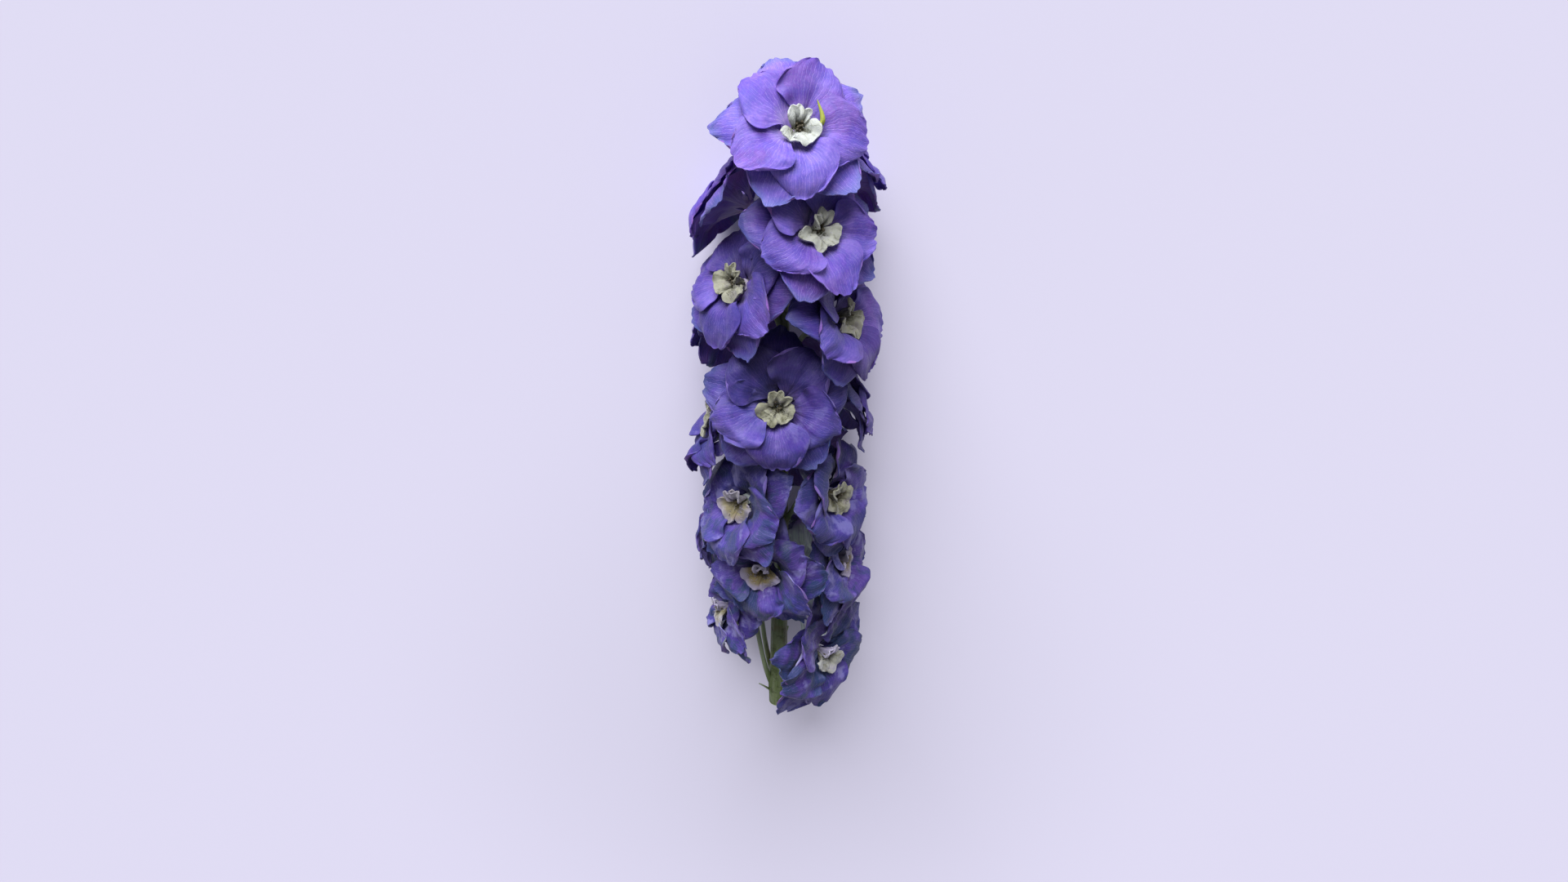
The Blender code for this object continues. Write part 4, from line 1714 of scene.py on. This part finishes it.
@dataclass
class Stem:
    """The stem, every pedicel, and the bracts at the lowest pedicels.

    The pedicel's swing and climb are given for the short pedicels and for the long ones.
    """

    plan: SpikePlan
    florets: list[Floret]
    length: float = 0.256
    cut_r: float = 0.0043
    tip_r: float = 0.0018
    rings: int = 60
    rib_depth: float = 0.020
    swelling: float = 0.16
    pedicel_r: float = 0.0011
    pedicel_swells: tuple[tuple[float, ...], ...] = ((0.45, 0.0, 0.16), (0.30, 1.0, 0.10))
    pedicel_turn: float = 0.003
    pedicel_neck: float = 0.0012
    pedicel_low: float = -0.0014
    pedicel_long: float = 0.045
    pedicel_swing: tuple[float, float] = (0.006, 0.18)
    pedicel_climb: tuple[float, float] = (0.45, 0.25)
    hub_back: float = -0.0012
    seat_gap: float = 0.0003
    bracts: int = 4
    bract_length: float = 0.010
    bract_half_width: float = 0.0011
    bract_wall: float = 0.0005

    def pedicel_path(self, floret: Floret) -> tuple[list[Array], list[float]]:
        """Leads a pedicel from inside the stem to the back of the hub.

        Args:
            floret: The floret that it carries.

        Returns:
            The points along it, and its radius at each.
        """
        face = floret.axes[:, 2]
        hub = floret.to_world(np.array((0, self.pedicel_low * floret.size, 0)))
        end = hub + face * (self.hub_back - self.seat_gap)
        outward = self.plan.outward(hub)
        rise = hub[1] - floret.root[1]
        long = int(rise > self.pedicel_long)
        swing = self.pedicel_swing[1] * rise if long else self.pedicel_swing[0]
        climb = np.array((0.0, rise * self.pedicel_climb[long], 0.0))
        turn = end - face * self.pedicel_turn
        points = bezier(floret.root + outward * 0.001, floret.root + outward * swing + climb,
                        turn - face * 0.004, turn, 16)
        points += [end - face * self.pedicel_neck, end]
        shares = np.linspace(0, 1, len(points))
        swell = sum(height * bump_at(shares, middle, width)
                    for height, middle, width in self.pedicel_swells)
        return points, [self.pedicel_r * (1.0 + float(extra)) for extra in swell]

    def bract_points(self, floret: Floret, u: Array, v: Array) -> Array:
        """Points of the bract under a floret's pedicel.

        Args:
            floret: The floret.
            u: The places across.
            v: The places along.

        Returns:
            The points in the part's frame.
        """
        outward = self.plan.outward(floret.hub)
        along = np.array((0.0, 1.0, 0.0))
        out = self.cut_r / 2 + v * self.bract_length * (0.55 + 0.2 * v) + 0.0003 * u**2
        climb = v * self.bract_length * 0.75 - 0.0015
        width = u * self.bract_half_width * (1 - 0.85 * v**1.5)
        return (floret.root + out[:, None] * outward + climb[:, None] * along
                + width[:, None] * np.cross(outward, along))

    def build(self, blank: PetalBlank, skin: Material) -> Piece:
        """Makes the piece.

        Args:
            blank: The sheet that each bract is copied from.
            skin: The stem's finish.

        Returns:
            The finished piece.
        """
        shares = np.linspace(0, 1, self.rings)
        path = [np.array(self.plan.stem_point(self.length * share)) for share in shares]
        radii = [self.cut_r + (self.tip_r - self.cut_r) * share for share in shares]
        stalk = tube([(path, radii)], 10, "stalk")
        self.groove(stalk)
        pedicels = tube([self.pedicel_path(floret) for floret in self.florets], 4, "pedicels")
        bracts = join([blank.copy(lambda u, v, f=floret: self.bract_points(f, u, v), BLACK)
                       for floret in self.florets[:self.bracts]], "bracts")
        thicken(bracts, self.bract_wall)
        piece = join([stalk, pedicels, bracts], "stem_with_pedicels")
        paint(piece, skin)
        return smooth(piece, 50)

    def groove(self, stalk: Piece) -> None:
        """Gives the stalk its shallow lengthwise ribs and the swellings under the pedicels.

        Args:
            stalk: The stalk, as a plain tapered tube.
        """
        axis = np.array(self.plan.axis)
        flat = coordinates(stalk) - axis
        along = flat[:, 1]
        turn = np.arctan2(flat[:, 0], flat[:, 2])
        grow = 1 + self.rib_depth * np.cos(7 * turn + 9 * along / self.length)
        for floret in self.florets:
            foot = floret.root[1] - axis[1]
            hub_turn = math.atan2(floret.hub[0] - axis[0], floret.hub[2] - axis[2])
            away = np.angle(np.exp(1j * (turn - hub_turn)))
            grow = grow + (self.swelling * bump_at(along, foot + 0.003, 0.005)
                           * bump_at(away, 0.0, 0.7))
        inner = (np.hypot(flat[:, 0], flat[:, 2]) > 0.0005) & (along > 0.0008)
        flat[:, [0, 2]] *= np.where(inner, grow, 1)[:, None]
        place(stalk, flat + axis)


@dataclass
class Studio:
    """The floor, the soft light and the camera."""

    axis: Vector
    floor_size: float = 60.0
    floor_top: float = -0.0002
    dome_r: float = 5.0
    elevation: float = math.radians(27)
    camera_place: Point = (0.0010, 0.3497, 0.407)
    camera_roll: float = math.radians(0.9)
    view_angle: float = math.radians(45)
    sun_strength: float = 6.2
    sun_width: float = math.radians(45)
    sun_toward: Point = (-0.14, 0.92, 0.37)
    room: Colour = (0.96, 0.96, 1.0)
    room_strength: float = 0.29

    def build_floor(self, finish: Material) -> Piece:
        """Makes the floor that the spike lies on.

        Args:
            finish: The floor's material.

        Returns:
            The floor.
        """
        deselect_all()
        bpy.ops.mesh.primitive_plane_add(size=self.floor_size, location=(0, 0, self.floor_top))
        floor = bpy.context.object
        floor.name = "floor"
        paint(floor, finish)
        return floor

    def build_backdrop(self, finish: Material) -> Piece:
        """Makes a wide dome in the floor's colour that only the camera sees.

        Args:
            finish: The backdrop's material.

        Returns:
            The dome.
        """
        deselect_all()
        bpy.ops.mesh.primitive_uv_sphere_add(segments=64, ring_count=32, radius=self.dome_r)
        dome = bpy.context.object
        dome.name = "backdrop"
        paint(dome, finish)
        for rays in ("diffuse", "glossy", "transmission", "volume_scatter", "shadow"):
            setattr(dome, f"visible_{rays}", False)
        return dome

    def build_camera(self) -> None:
        """Makes the camera, which looks down on the spike from beyond its tip."""
        camera = bpy.data.cameras.new("camera")
        camera.sensor_fit = "VERTICAL"
        camera.angle = self.view_angle
        camera.clip_start = 0.01
        holder = bpy.data.objects.new("camera", camera)
        bpy.context.scene.collection.objects.link(holder)
        turn = Matrix.Rotation(-self.elevation, 4, "X") @ Matrix.Rotation(self.camera_roll, 4, "Z")
        holder.matrix_world = Matrix.Translation(self.axis + Vector(self.camera_place)) @ turn
        bpy.context.scene.camera = holder

    def build_light(self) -> None:
        """Makes a wide soft light from the tip's side and an even light all round."""
        sun = bpy.data.lights.new("soft_light", "SUN")
        sun.energy = self.sun_strength
        sun.angle = self.sun_width
        holder = bpy.data.objects.new("soft_light", sun)
        bpy.context.scene.collection.objects.link(holder)
        toward = Vector(self.sun_toward).normalized()
        holder.rotation_euler = toward.to_track_quat("Z", "Y").to_euler()
        world = bpy.data.worlds.new("room")
        world.use_nodes = True
        room = world.node_tree.nodes["Background"].inputs
        room["Color"].default_value = (*self.room, 1.0)
        room["Strength"].default_value = self.room_strength
        bpy.context.scene.world = world
        bpy.context.scene.view_settings.view_transform = "Standard"


def stem_axis() -> Vector:
    """Finds the middle of the stem's cut face on the stem's node.

    Returns:
        The middle.
    """
    points = np.array([vertex.co[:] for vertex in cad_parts["stem"].data.vertices])
    low = points[points[:, 1] < points[:, 1].min() + 0.0001]
    middle = (low.max(axis=0) + low.min(axis=0)) / 2
    return Vector(middle.tolist())


def hand_over(piece: Piece, node: str) -> None:
    """Ties a finished piece to the CAD node that it stands for.

    Args:
        piece: The finished piece.
        node: The node's name.
    """
    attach(piece, BODY)
    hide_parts(node)
    log.info("%s stands for %s, %d faces", piece.name, node, len(piece.data.polygons))


def main() -> None:
    """Builds the pieces in order, dresses them and sets the studio."""
    logging.basicConfig(level=logging.INFO, format="%(message)s")
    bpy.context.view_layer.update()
    axis = stem_axis()
    plan = SpikePlan(axis)
    florets = plan.place_florets()
    plan.part_florets(florets)

    sepal_finishes = (SepalFinish().build(), SepalBackFinish().build())
    bee_finish = BeeFinish().build()
    stamen_finish = StamenFinish().build()
    stem_finish = StemFinish(end=axis.y, middle=(axis.x, axis.z)).build()

    sepal_blank = PetalBlank(24, 30)
    bee_blank = PetalBlank(16, 14)
    for floret in florets:
        number = f"{floret.index + 1:02d}"
        whorls = SepalWhorls(plan, floret).build(sepal_blank, sepal_finishes)
        hand_over(whorls, f"floret_{number}_sepals")
        bee = Bee(plan, floret).build(bee_blank, bee_finish, stamen_finish)
        hand_over(bee, f"floret_{number}_bee")
    stem = Stem(plan, florets).build(bee_blank, stem_finish)
    hand_over(stem, "stem")
    sepal_blank.remove()
    bee_blank.remove()

    studio = Studio(axis)
    floor = studio.build_floor(FloorFinish().build())
    backdrop = studio.build_backdrop(FloorFinish().build_glow())
    studio.build_light()
    studio.build_camera()


if __name__ == "__main__":
    main()
